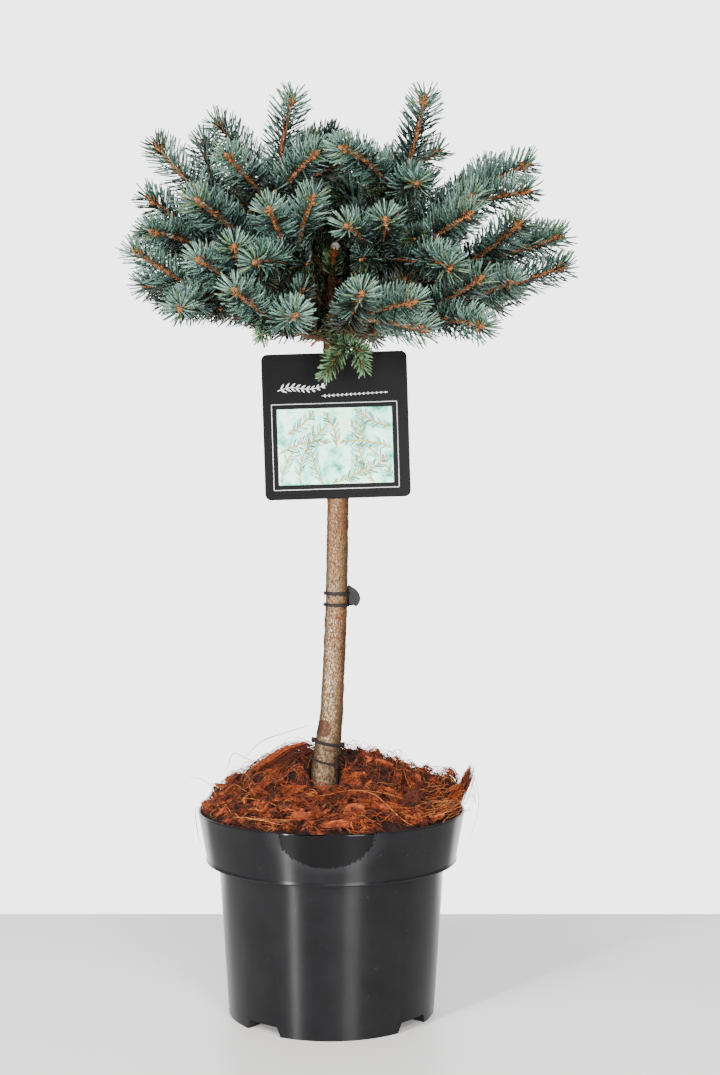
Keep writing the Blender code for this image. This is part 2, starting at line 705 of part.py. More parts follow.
def main():
    for obj in list(bpy.data.objects):
        bpy.data.objects.remove(obj)

    make_pot(material("pot_plastic", (0.016, 0.017, 0.019), 0.30))
    make_root_ball(material("growing_medium", (0.045, 0.028, 0.018), 0.95))
    make_heap(material("coir", (0.30, 0.105, 0.042), 0.90))

    bark = material("bark", (0.36, 0.25, 0.165), 0.85)
    make_trunk(bark)

    rubber = material("tie_rubber", (0.018, 0.017, 0.020), 0.55)
    make_tie("upper_tie", UPPER_TIE, HOOK, HOOK_DEPTH, 0, rubber)
    make_tie("lower_tie", LOWER_TIE, BRIDGE, BRIDGE_DEPTH, BRIDGE_HEADING, rubber)
    make_label(material("label_card", (0.022, 0.022, 0.024), 0.45))

    make_crown(
        material("bough_bark", (0.30, 0.16, 0.085), 0.85),
        material("needles", (0.125, 0.245, 0.250), 0.60),
        material("green_needles", (0.12, 0.19, 0.06), 0.60),
    )


main()
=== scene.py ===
# Looks of the blue spruce standard: a grafted crown on a bare stem, in a black nursery pot.
# Metres, in the frame of part.py: +X right, +Y away from the viewer, +Z up.

import math
import random

import bmesh
import bpy
import numpy as np
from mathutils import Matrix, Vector, noise


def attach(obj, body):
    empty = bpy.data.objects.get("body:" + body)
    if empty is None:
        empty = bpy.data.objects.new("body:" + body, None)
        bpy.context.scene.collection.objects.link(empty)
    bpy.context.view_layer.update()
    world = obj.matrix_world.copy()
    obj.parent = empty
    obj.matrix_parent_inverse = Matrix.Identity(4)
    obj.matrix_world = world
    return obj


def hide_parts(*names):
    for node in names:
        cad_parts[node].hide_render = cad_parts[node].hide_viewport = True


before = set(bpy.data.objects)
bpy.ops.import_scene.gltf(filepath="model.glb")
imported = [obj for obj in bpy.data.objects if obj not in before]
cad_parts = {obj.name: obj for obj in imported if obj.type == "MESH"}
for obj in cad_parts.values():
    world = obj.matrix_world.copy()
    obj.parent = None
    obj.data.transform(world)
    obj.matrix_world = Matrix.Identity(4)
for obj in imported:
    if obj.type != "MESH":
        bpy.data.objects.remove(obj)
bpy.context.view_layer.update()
NODES = list(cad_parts)
UP = np.array((0, 0, 1.0))
MM = 0.001


def srgb(red, green, blue):
    """A colour given as 0 to 255 sRGB, as the linear values that shaders take."""
    def linear(value):
        value /= 255
        return value / 12.92 if value <= 0.04045 else ((value + 0.055) / 1.055) ** 2.4
    return (linear(red), linear(green), linear(blue), 1.0)


def shades(*rows):
    """Stops of a ramp, from rows of a place on it and the sRGB colour there."""
    return [(place, srgb(*colour)) for place, *colour in rows]


def greys(*rows, blue=1.0):
    """Stops of a ramp, from rows of a place on it and the level of grey there."""
    return [(place, (level, level, blue * level, 1)) for place, level in rows]


# Sizes of part.py
GAP = 0.0003
WALL = 0.0014
FOOT_RADIUS = 0.0852
BODY_RADIUS = 0.0934
BODY_TOP = 0.1262
RIM_LOW_RADIUS = 0.1032
RIM_RADIUS = 0.1104
RIM_TOP = 0.1676
FLOOR = 0.0020
DRAIN_HEADINGS = (51, 141, 231, 321)
DRAIN_WIDTH = 0.034
DRAIN_DEPTH = 0.024
DRAIN_HEIGHT = 0.008
DRAIN_HOLE_RADIUS = 0.005
DRAIN_LEAN = 0.75
DRAIN_ROOF_WIDTH = 0.029
CUT = 0.010
SKIM = 0.0005
SOIL_TOP = 0.150
HEAP_RADIUS = 0.109
HEAP_EDGE = 0.1672
HEAP_RISE_FRONT = 0.020
HEAP_RISE_BACK = 0.046
HEAP_TURN = 0.056                  # depth over which the front's rise becomes the back's
CLUMP_HEADING = 4
CLUMP_RADIUS = 0.100
CLUMP_SPREAD = (14, 0.018)         # degrees round the pot, and across
CLUMP_RISE = 0.017                 # the top of the source's clump is a bundle of fibres here
DENT = 0.007                       # the heap sinks this much before the stem
DENT_REACH = 0.024
# The stem's height, lean to the right and radius
STEM = (
    (SOIL_TOP + GAP, -0.0075, 0.0126),
    (0.176, -0.0058, 0.0115),
    (0.192, -0.0060, 0.0113),
    (0.204, -0.0052, 0.0106),
    (0.214, -0.0036, 0.0110),
    (0.226, -0.0024, 0.0106),
    (0.246, 0.0000, 0.0094),
    (0.297, 0.0025, 0.0091),
    (0.335, 0.0041, 0.0090),
    (0.423, 0.0054, 0.0089),
    (0.500, 0.0042, 0.0087),
    (0.540, 0.0027, 0.0091),
    (0.558, 0.0021, 0.0092),
    (0.578, 0.0006, 0.0074),
    (0.592, -0.0004, 0.0048),
    (0.604, 0.0002, 0.0046),
    (0.616, 0.0018, 0.0040),
    (0.6325, 0.0034, 0.0035),
)
UPPER_TIE = (0.3360, 0.3455)
LOWER_TIE = (0.2060, 0.2216)
LOWER_TIE_TILT = 0.08
BAND_HALF_WIDTH = 0.0009
LABEL_SIZE = 0.1195
LABEL_CENTRE = (0.0039, 0.4837)
LABEL_TURN = math.radians(1.8)
LABEL_THICKNESS = 0.0008
LABEL_CORNER = 0.005
LABEL_DEPTHS = (-0.0110, -0.0086)  # needles keep out of this layer before and behind the card
STRAP_HEIGHT = 0.536
STRAP_WIDTH = 0.008
HOOK = ((0.0092, 0.3512), (0.0130, 0.3506), (0.0168, 0.3478), (0.0192, 0.3440), (0.0196, 0.3400),
        (0.0180, 0.3364), (0.0158, 0.3346), (0.0140, 0.3362), (0.0116, 0.3362), (0.0092, 0.3352))
HOOK_DEPTH = 0.0045
TAB_ROUNDING = 0.0006
BRIDGE = ((0.0117, 0.2228), (0.0138, 0.2206), (0.0138, 0.2073), (0.0117, 0.2050))
BRIDGE_DEPTH = 0.0050
BRIDGE_HEADING = 90
CROWN_CENTRE = np.array((0.002, 0.0, 0.556))
CROWN_REACH = 0.190
PATH_STEPS = 40
BOUGH_STEPS = 16
BOUGH_RADIUS = 0.0031
BOUGH_TIP_RADIUS = 0.0022

# The boughs of part.py: root height, sag, then each shoot's fork, heading, rise and reach
BOUGHS = {
    "left_low": (0.5610, 12, ((0, 212, 18, 0.99), (0.50, 233, 2, 0.97), (0.62, 192, 14, 0.85))),
    "left_front_low": (0.5550, 10, ((0, 247, 6, 0.95), (0.50, 262, 0, 0.90))),
    "left_mid": (0.5770, 8, ((0, 205, 33, 1.00), (0.50, 218, 22, 0.99), (0.62, 186, 28, 0.92))),
    "left_high": (0.5975, 18, ((0, 199, 45, 1.11), (0.55, 178, 57, 1.03))),
    "left_front": (0.5675, 4, ((0, 236, 14, 0.95), (0.52, 247, 16, 0.97))),
    "left_front_mid": (0.5880, 2, ((0, 232, 29, 0.98), (0.55, 219, 34, 0.92))),
    "left_front_high": (0.6085, 0, ((0, 233, 44, 0.97), (0.45, 248, 66, 1.04), (0.48, 265, 49, 0.90))),
    "front_left": (0.5745, 6, ((0, 254, 26, 0.95), (0.50, 252, 12, 0.95), (0.52, 265, 33, 0.88))),
    "front_low": (0.5610, 8, ((0, 277, 4, 1.00), (0.55, 290, 3, 0.95), (0.58, 297, -3, 0.84))),
    "front_right": (0.5920, 10, ((0, 284, 23, 0.95), (0.55, 274, 22, 0.92))),
    "right_front_low": (0.5550, 10, ((0, 309, 10, 0.95), (0.52, 307, -2, 0.98))),
    "right_front": (0.5810, 4, ((0, 311, 27, 0.95), (0.48, 299, 11, 0.97), (0.55, 322, 36, 0.92))),
    "right_upright": (0.6105, 26, ((0, 312, 59, 1.10), (0.46, 297, 36, 0.92), (0.48, 273, 46, 0.95))),
    "right_low": (0.5640, 6, ((0, 343, 15, 1.05), (0.52, 328, 12, 0.88), (0.60, 4, 15, 0.82))),
    "right": (0.5750, 2, ((0, 345, 22, 1.07), (0.50, 328, 25, 1.00), (0.60, 2, 26, 1.03))),
    "right_high": (0.6000, 2, ((0, 346, 40, 1.11), (0.50, 337, 33, 1.05), (0.55, 12, 47, 1.05))),
    "left_back_high": (0.6170, 4, ((0, 168, 61, 1.10), (0.50, 100, 73, 0.95))),
    "right_back_high": (0.6190, 4, ((0, 50, 64, 0.95), (0.50, 18, 60, 0.98))),
}
# How far a bough's root is turned from its leading shoot's heading, to leave the cut leader in view
ROOT_TURNS = {
    "left_low": -7, "left_front": -8, "front_left": -8, "left_mid": -7, "left_front_mid": -20,
    "left_high": -9, "left_front_high": -28, "front_right": 31, "right_upright": 23,
}
# Boughs of the back: root height, how it is staggered, headings, rise and reach
BACK_WHORLS = {
    "back_low": (0.5600, 0.0060, (34, 74, 112, 148), 19, 0.92),
    "back_mid": (0.5850, 0.0098, (48, 96, 142), 34, 1.00),
}
# Two sprigs over the label: their stem's elbow and tip, then each one's fork, elbow and tip from there
SPRIG_ROOT = 0.5496
SPRIG_STEM = ((0.004, -0.032, 0.5510), (0.026, -0.060, 0.5400))
SPRIGS = (
    (0.60, (-0.004, -0.006, -0.004), (-0.016, -0.010, -0.025)),
    (0.72, (0.007, -0.006, -0.001), (0.011, -0.010, -0.018)),
)

# The label's print: a panel with a thin line round it, on the label's face from its middle
PICTURE_CENTRE = (-0.0010, -0.0166)
PICTURE_SIZE = (0.0943, 0.0622)
LINE_SIZE = (0.1028, 0.0702)
LINE_WIDTH = 0.00042
PRINT_FOOT = -0.0001               # heights over the face: underside of panel and line
LINE_LEVEL = 0.00005
PICTURE_LEVEL = 0.00008
LEAF_LEVELS = (0.00012, 0.00014, 0.00006)    # the ornament's lines, its leaves, and their underside
FROND_LEVELS = (0.00012, 0.000025, 0.00005)  # the first frond, step to the next, and their underside
RIB_LIFT = 0.000012
# Printed fronds: foot on the label's face, first heading, bend and length
FRONDS = (
    (-0.046, -0.046, 84, -52, 0.050), (-0.030, -0.047, 104, -70, 0.044), (-0.012, -0.047, 122, -48, 0.050),
    (0.010, -0.047, 62, 50, 0.054), (0.030, -0.047, 124, -34, 0.048), (0.045, -0.044, 108, 56, 0.050),
    (-0.047, -0.022, 34, -44, 0.046), (0.046, -0.020, 152, 40, 0.046), (-0.024, -0.020, 66, -34, 0.030),
    (0.000, -0.018, 86, 44, 0.032), (0.022, -0.014, 112, -54, 0.028), (-0.040, -0.006, 24, 30, 0.030),
    (0.044, -0.002, 166, -30, 0.034), (-0.004, -0.047, 12, 30, 0.040), (0.020, -0.040, 20, 28, 0.026),
)
LEAFLET_STEP = 0.0011
LEAFLET_LENGTH = 0.0075
LEAFLET_HALF_WIDTH = 0.00025
RIB_HALF_WIDTH = 0.00052
LEAFLET_CHOICE = ("pale", "mint", "mint", "teal", "teal", "deep")
PRINT_COLOURS = {
    "pale": (246, 255, 250),
    "mint": (150, 228, 200),
    "teal": (58, 140, 118),
    "deep": (20, 72, 56),
    "straw": (176, 140, 40),
}
# Plain ornament over the panel, a branch and a sprig: ends, count of leaves, wave, leaf length and width
ORNAMENTS = (
    ((-0.0470, 0.0296), (-0.0090, 0.0330), 9, 0.0016, 0.0062, 0.00062),
    ((-0.0110, 0.0246), (0.0425, 0.0262), 15, 0.0, 0.0021, 0.00034),
)

# Foliage, from the photograph
NEEDLE_LENGTH = 0.0202
NEEDLE_WIDTH = 0.00134
NEEDLES_PER_METRE = 2900
LINE_STEPS = 60                    # a twig's line is cut into this many places
SPRAY_LENGTH = 0.012               # needles over this length of twig share a tone
TIP_REACH = 0.016                  # toward the tip needles close up and grow shorter
FOOT_REACH = 0.010
FINE_NEEDLE = ((0.0, 0.46, 0.91), (0.72, 1.0, 0.84))    # places along it, and its width there
PLAIN_NEEDLE = ((0.0, 0.80), (0.80, 1.0))
FINE_COLOURS = ("silver", "blue", "fresh", "tender", "young")
GREEN_COLOURS = ("green", "olive", "fresh", "tender", "young")
TWIG_RADIUS = 0.0024
TWIG_TIP_RADIUS = 0.0018
BUD_LENGTH = 0.0068
BUD_RADIUS = 0.0025
GOLDEN_TURN = math.pi * (3 - math.sqrt(5))
PIECE_LIMIT = 190000               # triangles in one joined piece
LEADER_GAP = (-0.0052, 0.0088)     # left and right of the gap before the cut leader
LEADER_GAP_DEPTH = 0.15
LEADER_GAP_LOW = (0.583, 0.085)    # its height at the leader, and how it falls toward the viewer
LEADER_GAP_HIGH = (0.642, 0.13)
RING_GAP = (-0.0120, 0.0150)       # the gap is this wide before the ring of needles
RING_GAP_BACK = -0.034             # and starts this far in front of it
LEADER_RING = (0.6075, 0.6290)     # heights of the green needles round the cut leader
RING_FRONT = (0.6250, 0.15)        # in front they stay under this height, which has this slope forward
# Needles round the leader, and old ones under them: heights, kind, density, length, radius and spread
COLLARS = (
    (LEADER_RING, "ring", 3.3, 0.92, 0.0040, 84),
    ((0.572, 0.601), "old", 2.2, 0.95, 0.0060, 66),
)
LOW_INSIDE = (0.594, 0.112)        # under this height and within this radius needles are old and brown
OLD_WITHIN = (0.045, 0.60)         # short twigs that start within this radius and under this height are old
CROWN_FOOT = 0.553
INNER_TWIGS = 6                    # on each bough
INNER_TWIG_REACH = 0.78            # as a share of the crown's
TENDER_SHARE = 0.28
TENDER_REACH = 0.013               # from the tip
OLIVE_SHARE = 0.70
# How tone deals a kind's needles to colours: (up to this tone, colour)
KINDS = {
    "outer": ((0.32, "deep"), (0.66, "blue"), (9, "silver")),
    # Inner needles go mostly to deep, painted shade for the inside of the crown
    "inner": ((0.34, "green"), (0.92, "deep"), (9, "blue")),
    "old": ((0.46, "olive"), (0.75, "green"), (9, "deep")),
    "sprig": ((0.30, "green"), (9, "fresh")),
    "ring": ((0.30, "fresh"), (9, "young")),
    "dead": ((0.50, "olive"), (9, "deep")),
}
# Dark and light of the needles, in sRGB
NEEDLE_COLOURS = {
    "silver": ((66, 94, 84), (114, 142, 130)),
    "blue": ((38, 62, 55), (75, 104, 93)),
    # Painted shade: the deep needles are near black for the shadow inside the crown
    "deep": ((7, 16, 12), (21, 38, 32)),
    "green": ((26, 39, 17), (58, 73, 36)),
    "olive": ((40, 33, 16), (80, 66, 33)),
    "tender": ((48, 68, 44), (94, 116, 82)),
    "fresh": ((52, 80, 50), (104, 136, 94)),
    # Painted light: the young needles round the cut leader are paler than their own green, so they read lit
    # inside the crown's shade
    "young": ((112, 146, 86), (188, 214, 154)),
}
# Finer twigs of the scene: bough, its shoot, share along that, heading, rise, length, kind, needle length
FINER_TWIGS = (
    ("right_back_high", 0, 0.58, 186, 24, 0.046, "outer", 1.0),
    ("right_back_high", 0, 0.42, 160, 50, 0.042, "outer", 1.0),
    ("back_mid_2", 3, 0.72, 12, 34, 0.046, "outer", 1.0),
    ("right_upright", 2, 0.50, 176, 20, 0.034, "outer", 0.9),
    ("left_back_high", 1, 0.60, 10, 34, 0.040, "inner", 1.0),
    ("back_mid_2", 3, 0.22, 184, 44, 0.046, "inner", 1.0),
    ("back_mid_2", 3, 0.28, -2, 40, 0.046, "inner", 1.0),
    ("back_mid_2", 3, 0.50, 176, 30, 0.040, "inner", 1.0),
    ("back_mid_2", 0, 0.50, 14, 30, 0.044, "inner", 1.0),
    ("right_back_high", 0, 0.44, 182, 26, 0.036, "inner", 1.0),
    ("back_mid_2", 3, 0.73, -10, -10, 0.040, "inner", 1.0),
    ("left_back_high", 1, 0.44, -8, 20, 0.034, "inner", 1.0),
    ("left_front_low", 0, 0.62, 228, -54, 0.019, "sprig", 0.62),
    ("left_front_low", 0, 0.10, 215, -38, 0.012, "dead", 0.40),
    ("left_front_low", 0, 0.07, 250, -20, 0.010, "dead", 0.36),
)
# Bark of boughs, twigs and buds, from its dark hollows to its lit ridges, and its scale and upright stretch
BARK_STOPS = (0.30, 0.45, 0.60, 0.75)
BOUGH_BARK = (((46, 30, 20), (80, 50, 32), (108, 70, 45), (138, 100, 70)), 260, 0.5)
TWIG_BARK = (((66, 36, 18), (116, 68, 34), (148, 92, 46), (176, 124, 74)), 420, 0.6)
BUD_SCALES = (((74, 38, 14), (120, 68, 27), (154, 92, 38), (188, 130, 68)), 900, 1.0)

# The heap of coir: its slot and node, its lumps, and the gaps between them where its ground shows, painted
# near black as shade
COIR = ("coir_mulch", ["mulch"])
LUMP_SCALE = 95
LUMP_RISE = 0.0046
GAP_LEVEL = -0.09
FIBRE_EDGE = 0.1065
HUSK_EDGE = 0.1030
BUNCH_SPREAD = 0.0020
# Its dark and light, in sRGB
COIR_COLOURS = {
    "brick": ((56, 21, 10), (166, 75, 33)),
    "rust": ((28, 11, 6), (88, 37, 17)),
    "dark": ((6, 3, 2), (24, 12, 7)),
    # Painted shade: the ground is near black for the shadow in the gaps between lumps
    "ground": ((5, 3, 2), (50, 22, 11)),
    "gold": ((126, 62, 26), (208, 130, 66)),
}
# Half thicknesses of fibres, least and most
FINEST = (0.00010, 0.00022)
FINE = (0.00014, 0.00032)
COARSE = (0.00020, 0.00042)
STRAY = (0.00024, 0.00036)
# Fibres that lie on the heap: kind, count, points, length, how they wander, lift off the heap, arch,
# how many run side by side, whether they leave the gaps clear, and thickness
LYING_FIBRES = (
    ("brick", 2500, 6, (0.006, 0.020), 1.5, (-0.0036, 0.0018), (-0.001, 0.002), 14, True, FINE),
    ("brick", 900, 7, (0.010, 0.030), 1.9, (-0.0030, 0.0020), (-0.001, 0.004), 1, True, FINE),
    ("rust", 2900, 6, (0.006, 0.020), 1.5, (-0.0046, 0.0006), (-0.001, 0.002), 12, True, COARSE),
    ("rust", 600, 7, (0.010, 0.028), 1.9, (-0.0030, 0.0016), (-0.001, 0.003), 1, True, FINE),
    ("dark", 500, 6, (0.008, 0.026), 1.7, (-0.0040, 0.0014), (-0.001, 0.003), 4, True, FINE),
    ("gold", 230, 8, (0.008, 0.032), 1.8, (-0.0020, 0.0024), (-0.001, 0.004), 1, False, FINEST),
    ("gold", 90, 7, (0.008, 0.020), 1.2, (-0.0030, 0.0012), (0.0, 0.002), 6, True, FINE),
    ("gold", 14, 16, (0.05, 0.10), 2.4, (0.001, 0.003), (0.001, 0.006), 1, False, FINE),
)
# The same for fibres that stand up from it
STANDING_FIBRES = (190, 11, (0.010, 0.026), 2.8, (0.000, 0.003), (0.002, 0.010), 1, False)
# Long fibres that lie on the heap, in millimetres: x, y and height above it
STRANDS = (
    ((-24, -50, 2), (-4, -48, 4), (17, -42, 5), (40, -43, 5), (62, -49, 4), (79, -57, 1)),
    ((20, -43, 6), (36, -58, 6), (55, -83, 3), (65, -87, 2)),
    ((-86, -20, 1), (-66, -40, 3), (-40, -66, 3), (-22, -80, 1)),
)
# Long fibres that hang or stand free, in millimetres: x, y, z
STRAYS = (
    ((109, -4, 170), (115, -4, 196), (120.5, -6, 185), (121.5, -8, 170), (115, -10, 144)),
    ((-108, -6, 169), (-112.5, -7, 168), (-111.8, -8, 156), (-109, -8, 140)),
    ((-117, -10, 194.5), (-106, -12, 192.5), (-98, -14, 186), (-94, -16, 179)),
    ((-75, 30, 202), (-60, 20, 219), (-35, 12, 229), (-18, 6, 235)),
    ((-48, 20, 208), (-36, 16, 223), (-19, 12, 220), (-13, 10, 208)),
    ((-90, 30, 190), (-84, 24, 208), (-70, 20, 204), (-56, 18, 202)),
)
# Strewn pieces of husk: kind, count, length, and fibres on each
STREWN_HUSKS = (
    ("brick", 230, (0.007, 0.017), 12),
    ("rust", 150, (0.007, 0.016), 10),
    ("dark", 40, (0.006, 0.012), 8),
    ("gold", 6, (0.006, 0.010), 16),
)
# Large pieces of husk: kind, x, y, height above the heap, heading, length, width, tip toward the viewer
HUSKS = (
    ("brick", 0.020, -0.080, 0.0010, 12, 0.020, 0.012, 38),
    ("rust", 0.064, -0.052, 0.0060, 62, 0.026, 0.011, 60),
    ("brick", -0.022, -0.088, 0.0008, 4, 0.018, 0.006, 34),
    ("brick", 0.042, -0.068, 0.0015, -24, 0.020, 0.006, 22),
    ("rust", -0.070, -0.050, 0.0014, 24, 0.016, 0.007, 24),
    ("rust", -0.036, -0.052, 0.0014, 40, 0.014, 0.006, 16),
    ("brick", 0.006, -0.098, 0.0008, 2, 0.022, 0.006, 40),
)
LARGE_HUSK_FIBRES = 46
# Bundles of fibre, in millimetres: kind, spread, count, and the points that each runs through
BUNDLES = (
    ("brick", 1.2, 46, ((-66, 4, 197), (-47, 2, 210.5), (-34, 2, 217.8), (-17, 4, 221.4))),
    ("rust", 1.2, 30, ((-60, 8, 198), (-40, 6, 212), (-24, 6, 218), (-12, 8, 216))),
    ("brick", 2, 60, ((103, -4, 168), (108.5, -5, 183), (112.5, -6, 194), (116, -6, 204.5))),
    ("rust", 1.8, 44, ((104, -6, 169), (109.2, -7, 184), (113, -8, 195), (115, -8, 202))),
    ("gold", 5.2, 18, ((62, -84, 172.2), (84, -63, 175.5), (100, -38, 176), (111, -12, 172.5))),
    ("gold", 4, 10, ((-66, -78, 171.6), (-50, -86, 171.6), (-34, -93, 171.2), (-20, -97, 170.6))),
    ("gold", 3.4, 10, ((0, -90, 173), (12, -84, 175.2), (22, -76, 177.2), (30, -66, 179.2))),
    ("gold", 3.6, 9, ((60, -60, 179), (74, -48, 180.2), (88, -36, 179), (100, -22, 176))),
    ("brick", 3, 50, ((94, -30, 176), (100, -16, 180), (104.5, -4, 183), (106, 10, 183))),
    ("gold", 2, 5, ((102, -30, 179), (112, -20, 183), (116.5, -12, 176), (114, -10, 156))),
    ("rust", 3.6, 64, ((-62, 10, 196), (-46, 8, 205.5), (-31, 8, 213), (-14, 10, 215))),
)

# The bark from the left side of the trunk to its right: how many pale flecks, as a painted highlight on its
# lit front, and how dark its flanks, as painted shade
TRUNK_RADIUS = 0.0112
WIDEST_LEAN = 0.02
LIT_PALE_BAND = ((0.06, 0.10), (0.26, 0.86), (0.50, 0.80), (0.66, 0.34), (0.90, 0.12))
SHADED_FLANKS = ((0.0, 0.24), (0.14, 0.54), (0.30, 0.96), (0.60, 0.92), (0.82, 0.52), (1.0, 0.22))
BARE_PATCH = (-0.0065, 0.2345)     # x and height of its middle
MOSS_TOP = 0.226
OLD_SHADED_BARK_FOOT = 0.534
FRESH_BARK_FOOT = 0.612
SCARS = 26
SCAR_RISE = 0.0007

# A near-black, glossier patch on the rim: a bell shape that hangs from its top edge
DARK_PATCH_MIDDLE = -0.0022
DARK_PATCH_WIDTH = 0.038
DARK_PATCH_DEPTH = 0.0275

# The photograph's camera, fitted to the centimetre rule behind the pot
CAMERA_PLACE = (0.0236, -1.3241, 0.4231)
CAMERA_DOWN = math.radians(1.36)
CAMERA_LENS = 53.58
CAMERA_SENSOR = 36.0
TABLE_SIZE = (3.2, 2.2, 0.03)
TABLE_BACK = 0.30
STUDIO_TINT = (0.985, 0.99, 1.02)
FRONT_LIGHT = 0.34
BACK_LIGHT = 3.9
BACK_FROM, BACK_TO = 0.80, 0.90    # where the bright wall begins and is full, as shares of the turn to +Y
# Lamps: name, place, target, width and height, power
LAMPS = (
    ("key", (-1.34, -1.60, 1.75), (0, 0, 0.45), (0.34, 1.0), 48),
    ("fill", (0.72, -1.82, 1.45), (0, 0, 0.45), (0.80, 1.0), 28),
    ("front", (0.06, -1.75, 1.20), (0, 0, 0.45), (0.40, 0.40), 11),
    ("low_left", (-1.005, -1.357, 0.42), (0, 0, 0.15), (0.08, 0.7), 51.84),
    ("low_right", (0.60, -1.59, 0.42), (0, 0, 0.15), (0.40, 0.7), 37.76),
)


# Helpers

def unit(vectors):
    return vectors / np.maximum(np.linalg.norm(vectors, axis=-1, keepdims=True), 1e-12)


def direction(heading, rise):
    turn, lift = math.radians(heading), math.radians(rise)
    return np.array((math.cos(turn) * math.cos(lift), math.sin(turn) * math.cos(lift), math.sin(lift)))


def polar(radius, heading, height):
    turn = math.radians(heading)
    return (radius * math.cos(turn), radius * math.sin(turn), height)


def stem_at(height):
    """Lean and radius of the stem, as part.py has them."""
    table = np.array(STEM)
    return np.interp(height, table[:, 0], table[:, 1]), np.interp(height, table[:, 0], table[:, 2])


def add_object(name, data):
    obj = bpy.data.objects.new(name, data)
    bpy.context.scene.collection.objects.link(obj)
    return obj


def link(name, mesh, mat, replaced=()):
    """Adds a piece of the plant, riding on its only body."""
    obj = add_object(name, mesh)
    mesh.materials.clear()
    mesh.materials.append(mat)
    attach(obj, "root")
    if replaced:
        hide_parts(*replaced)


def link_parts(name, parts, mat, slot, replaced=(), smooth=True):
    """Adds a piece that is made of (points, faces) parts."""
    link(name, array_mesh(name, *join_parts(parts), smooth), mat, replaced)


def cube():
    bm = bmesh.new()
    bmesh.ops.create_cube(bm, size=1.0)
    return bm


def mesh_from(name, bm):
    mesh = bpy.data.meshes.new(name)
    bm.to_mesh(mesh)
    bm.free()
    return mesh


def array_mesh(name, points, faces, smooth=True):
    """A mesh from an array of points and a list of arrays of faces, one for each corner count."""
    faces = [f for f in faces if len(f)]
    corners = np.concatenate([f.ravel() for f in faces]).astype(np.int32)
    counts = np.concatenate([np.full(len(f), f.shape[1]) for f in faces])
    mesh = bpy.data.meshes.new(name)
    mesh.vertices.add(len(points))
    mesh.vertices.foreach_set("co", np.asarray(points, np.float32).ravel())
    mesh.loops.add(len(corners))
    mesh.loops.foreach_set("vertex_index", corners)
    mesh.polygons.add(len(counts))
    mesh.polygons.foreach_set("loop_start", np.concatenate(([0], np.cumsum(counts)[:-1])).astype(np.int32))
    mesh.polygons.foreach_set("use_smooth", np.full(len(counts), smooth))
    mesh.update(calc_edges=True)
    return mesh


def join_parts(parts):
    """Joins (points, faces) parts into one."""
    points, faces, start = [], {}, 0
    for part_points, part_faces in parts:
        points.append(part_points)
        for f in part_faces:
            faces.setdefault(f.shape[1], []).append(f + start)
        start += len(part_points)
    return np.concatenate(points), [np.concatenate(f) for f in faces.values()]


def ring_quads(rings, sides, closed=False):
    """Quads between neighbouring rings of points, and from the last to the first where told."""
    here = np.arange(sides)
    there = (here + 1) % sides
    low = np.arange(rings if closed else rings - 1)[:, None] * sides
    high = (low + sides) % (rings * sides)
    return np.stack((low + here, low + there, high + there, high + here), axis=-1).reshape(-1, 4)


def tube_faces(rings, sides):
    """Quads between neighbouring rings of points, and a cap at each end."""
    around = np.arange(sides)
    return ring_quads(rings, sides), np.stack((around[::-1], (rings - 1) * sides + around))


def sweep(paths, widths, sides, reference=None):
    """Closed tubes along many paths of equal point count: paths (n, m, 3), widths (n, m)."""
    count, steps, _ = paths.shape
    along = unit(np.gradient(paths, axis=1))
    if reference is None:
        mean = np.abs(unit(paths[:, -1] - paths[:, 0]))
        reference = np.eye(3)[np.argmin(mean, axis=1)]
    side = unit(np.cross(along, reference[:, None, :]))
    up = np.cross(side, along)
    angle = math.tau * np.arange(sides) / sides
    ring = np.cos(angle)[:, None] * side[:, :, None, :] + np.sin(angle)[:, None] * up[:, :, None, :]
    points = (paths[:, :, None, :] + ring * widths[:, :, None, None]).reshape(-1, 3)
    quads, caps = tube_faces(steps, sides)
    first = np.arange(count)[:, None] * steps * sides
    quads = (first[:, None] + quads).reshape(-1, 4)
    caps = np.concatenate([first + cap for cap in caps])
    return points, [quads[:, ::-1], caps[:, ::-1]]


def at_shares(values, shares):
    """The rows of an evenly spaced table at shares of its length."""
    index = shares * (len(values) - 1)
    return np.stack([np.interp(index, np.arange(len(values)), values[:, k]) for k in range(3)], axis=-1)


def resample(path, count):
    lengths = np.concatenate(([0], np.cumsum(np.linalg.norm(np.diff(path, axis=0), axis=1))))
    spots = np.linspace(0, lengths[-1], count)
    return np.stack([np.interp(spots, lengths, path[:, k]) for k in range(3)], axis=1), lengths[-1]


def curve(start, elbow, end, count):
    t = np.linspace(0, 1, count)[:, None]
    return (1 - t) ** 2 * start + 2 * t * (1 - t) * elbow + t * t * end


def spline(a, b, c, d, t):
    """A place between b and c on a smooth line through four points."""
    square = (2 * a - 5 * b + 4 * c - d) * t * t
    cube_term = (3 * b - a - 3 * c + d) * t ** 3
    return 0.5 * (2 * b + (c - a) * t + square + cube_term)


def through(points, count):
    """A smooth open line through the points."""
    points = np.array(points)
    padded = np.vstack((2 * points[0] - points[1], points, 2 * points[-1] - points[-2]))
    result = []
    for t in np.linspace(0, len(points) - 1, count):
        k = min(int(t), len(points) - 2)
        result.append(spline(*padded[k:k + 4], t - k))
    return np.array(result)


def smooth_outline(points, steps):
    """A closed smooth line through the points."""
    points = np.array(points, float)
    result = []
    for k in range(len(points)):
        corners = [points[(k + j) % len(points)] for j in (-1, 0, 1, 2)]
        result += [spline(*corners, t) for t in np.arange(steps) / steps]
    return np.array(result)


# Materials

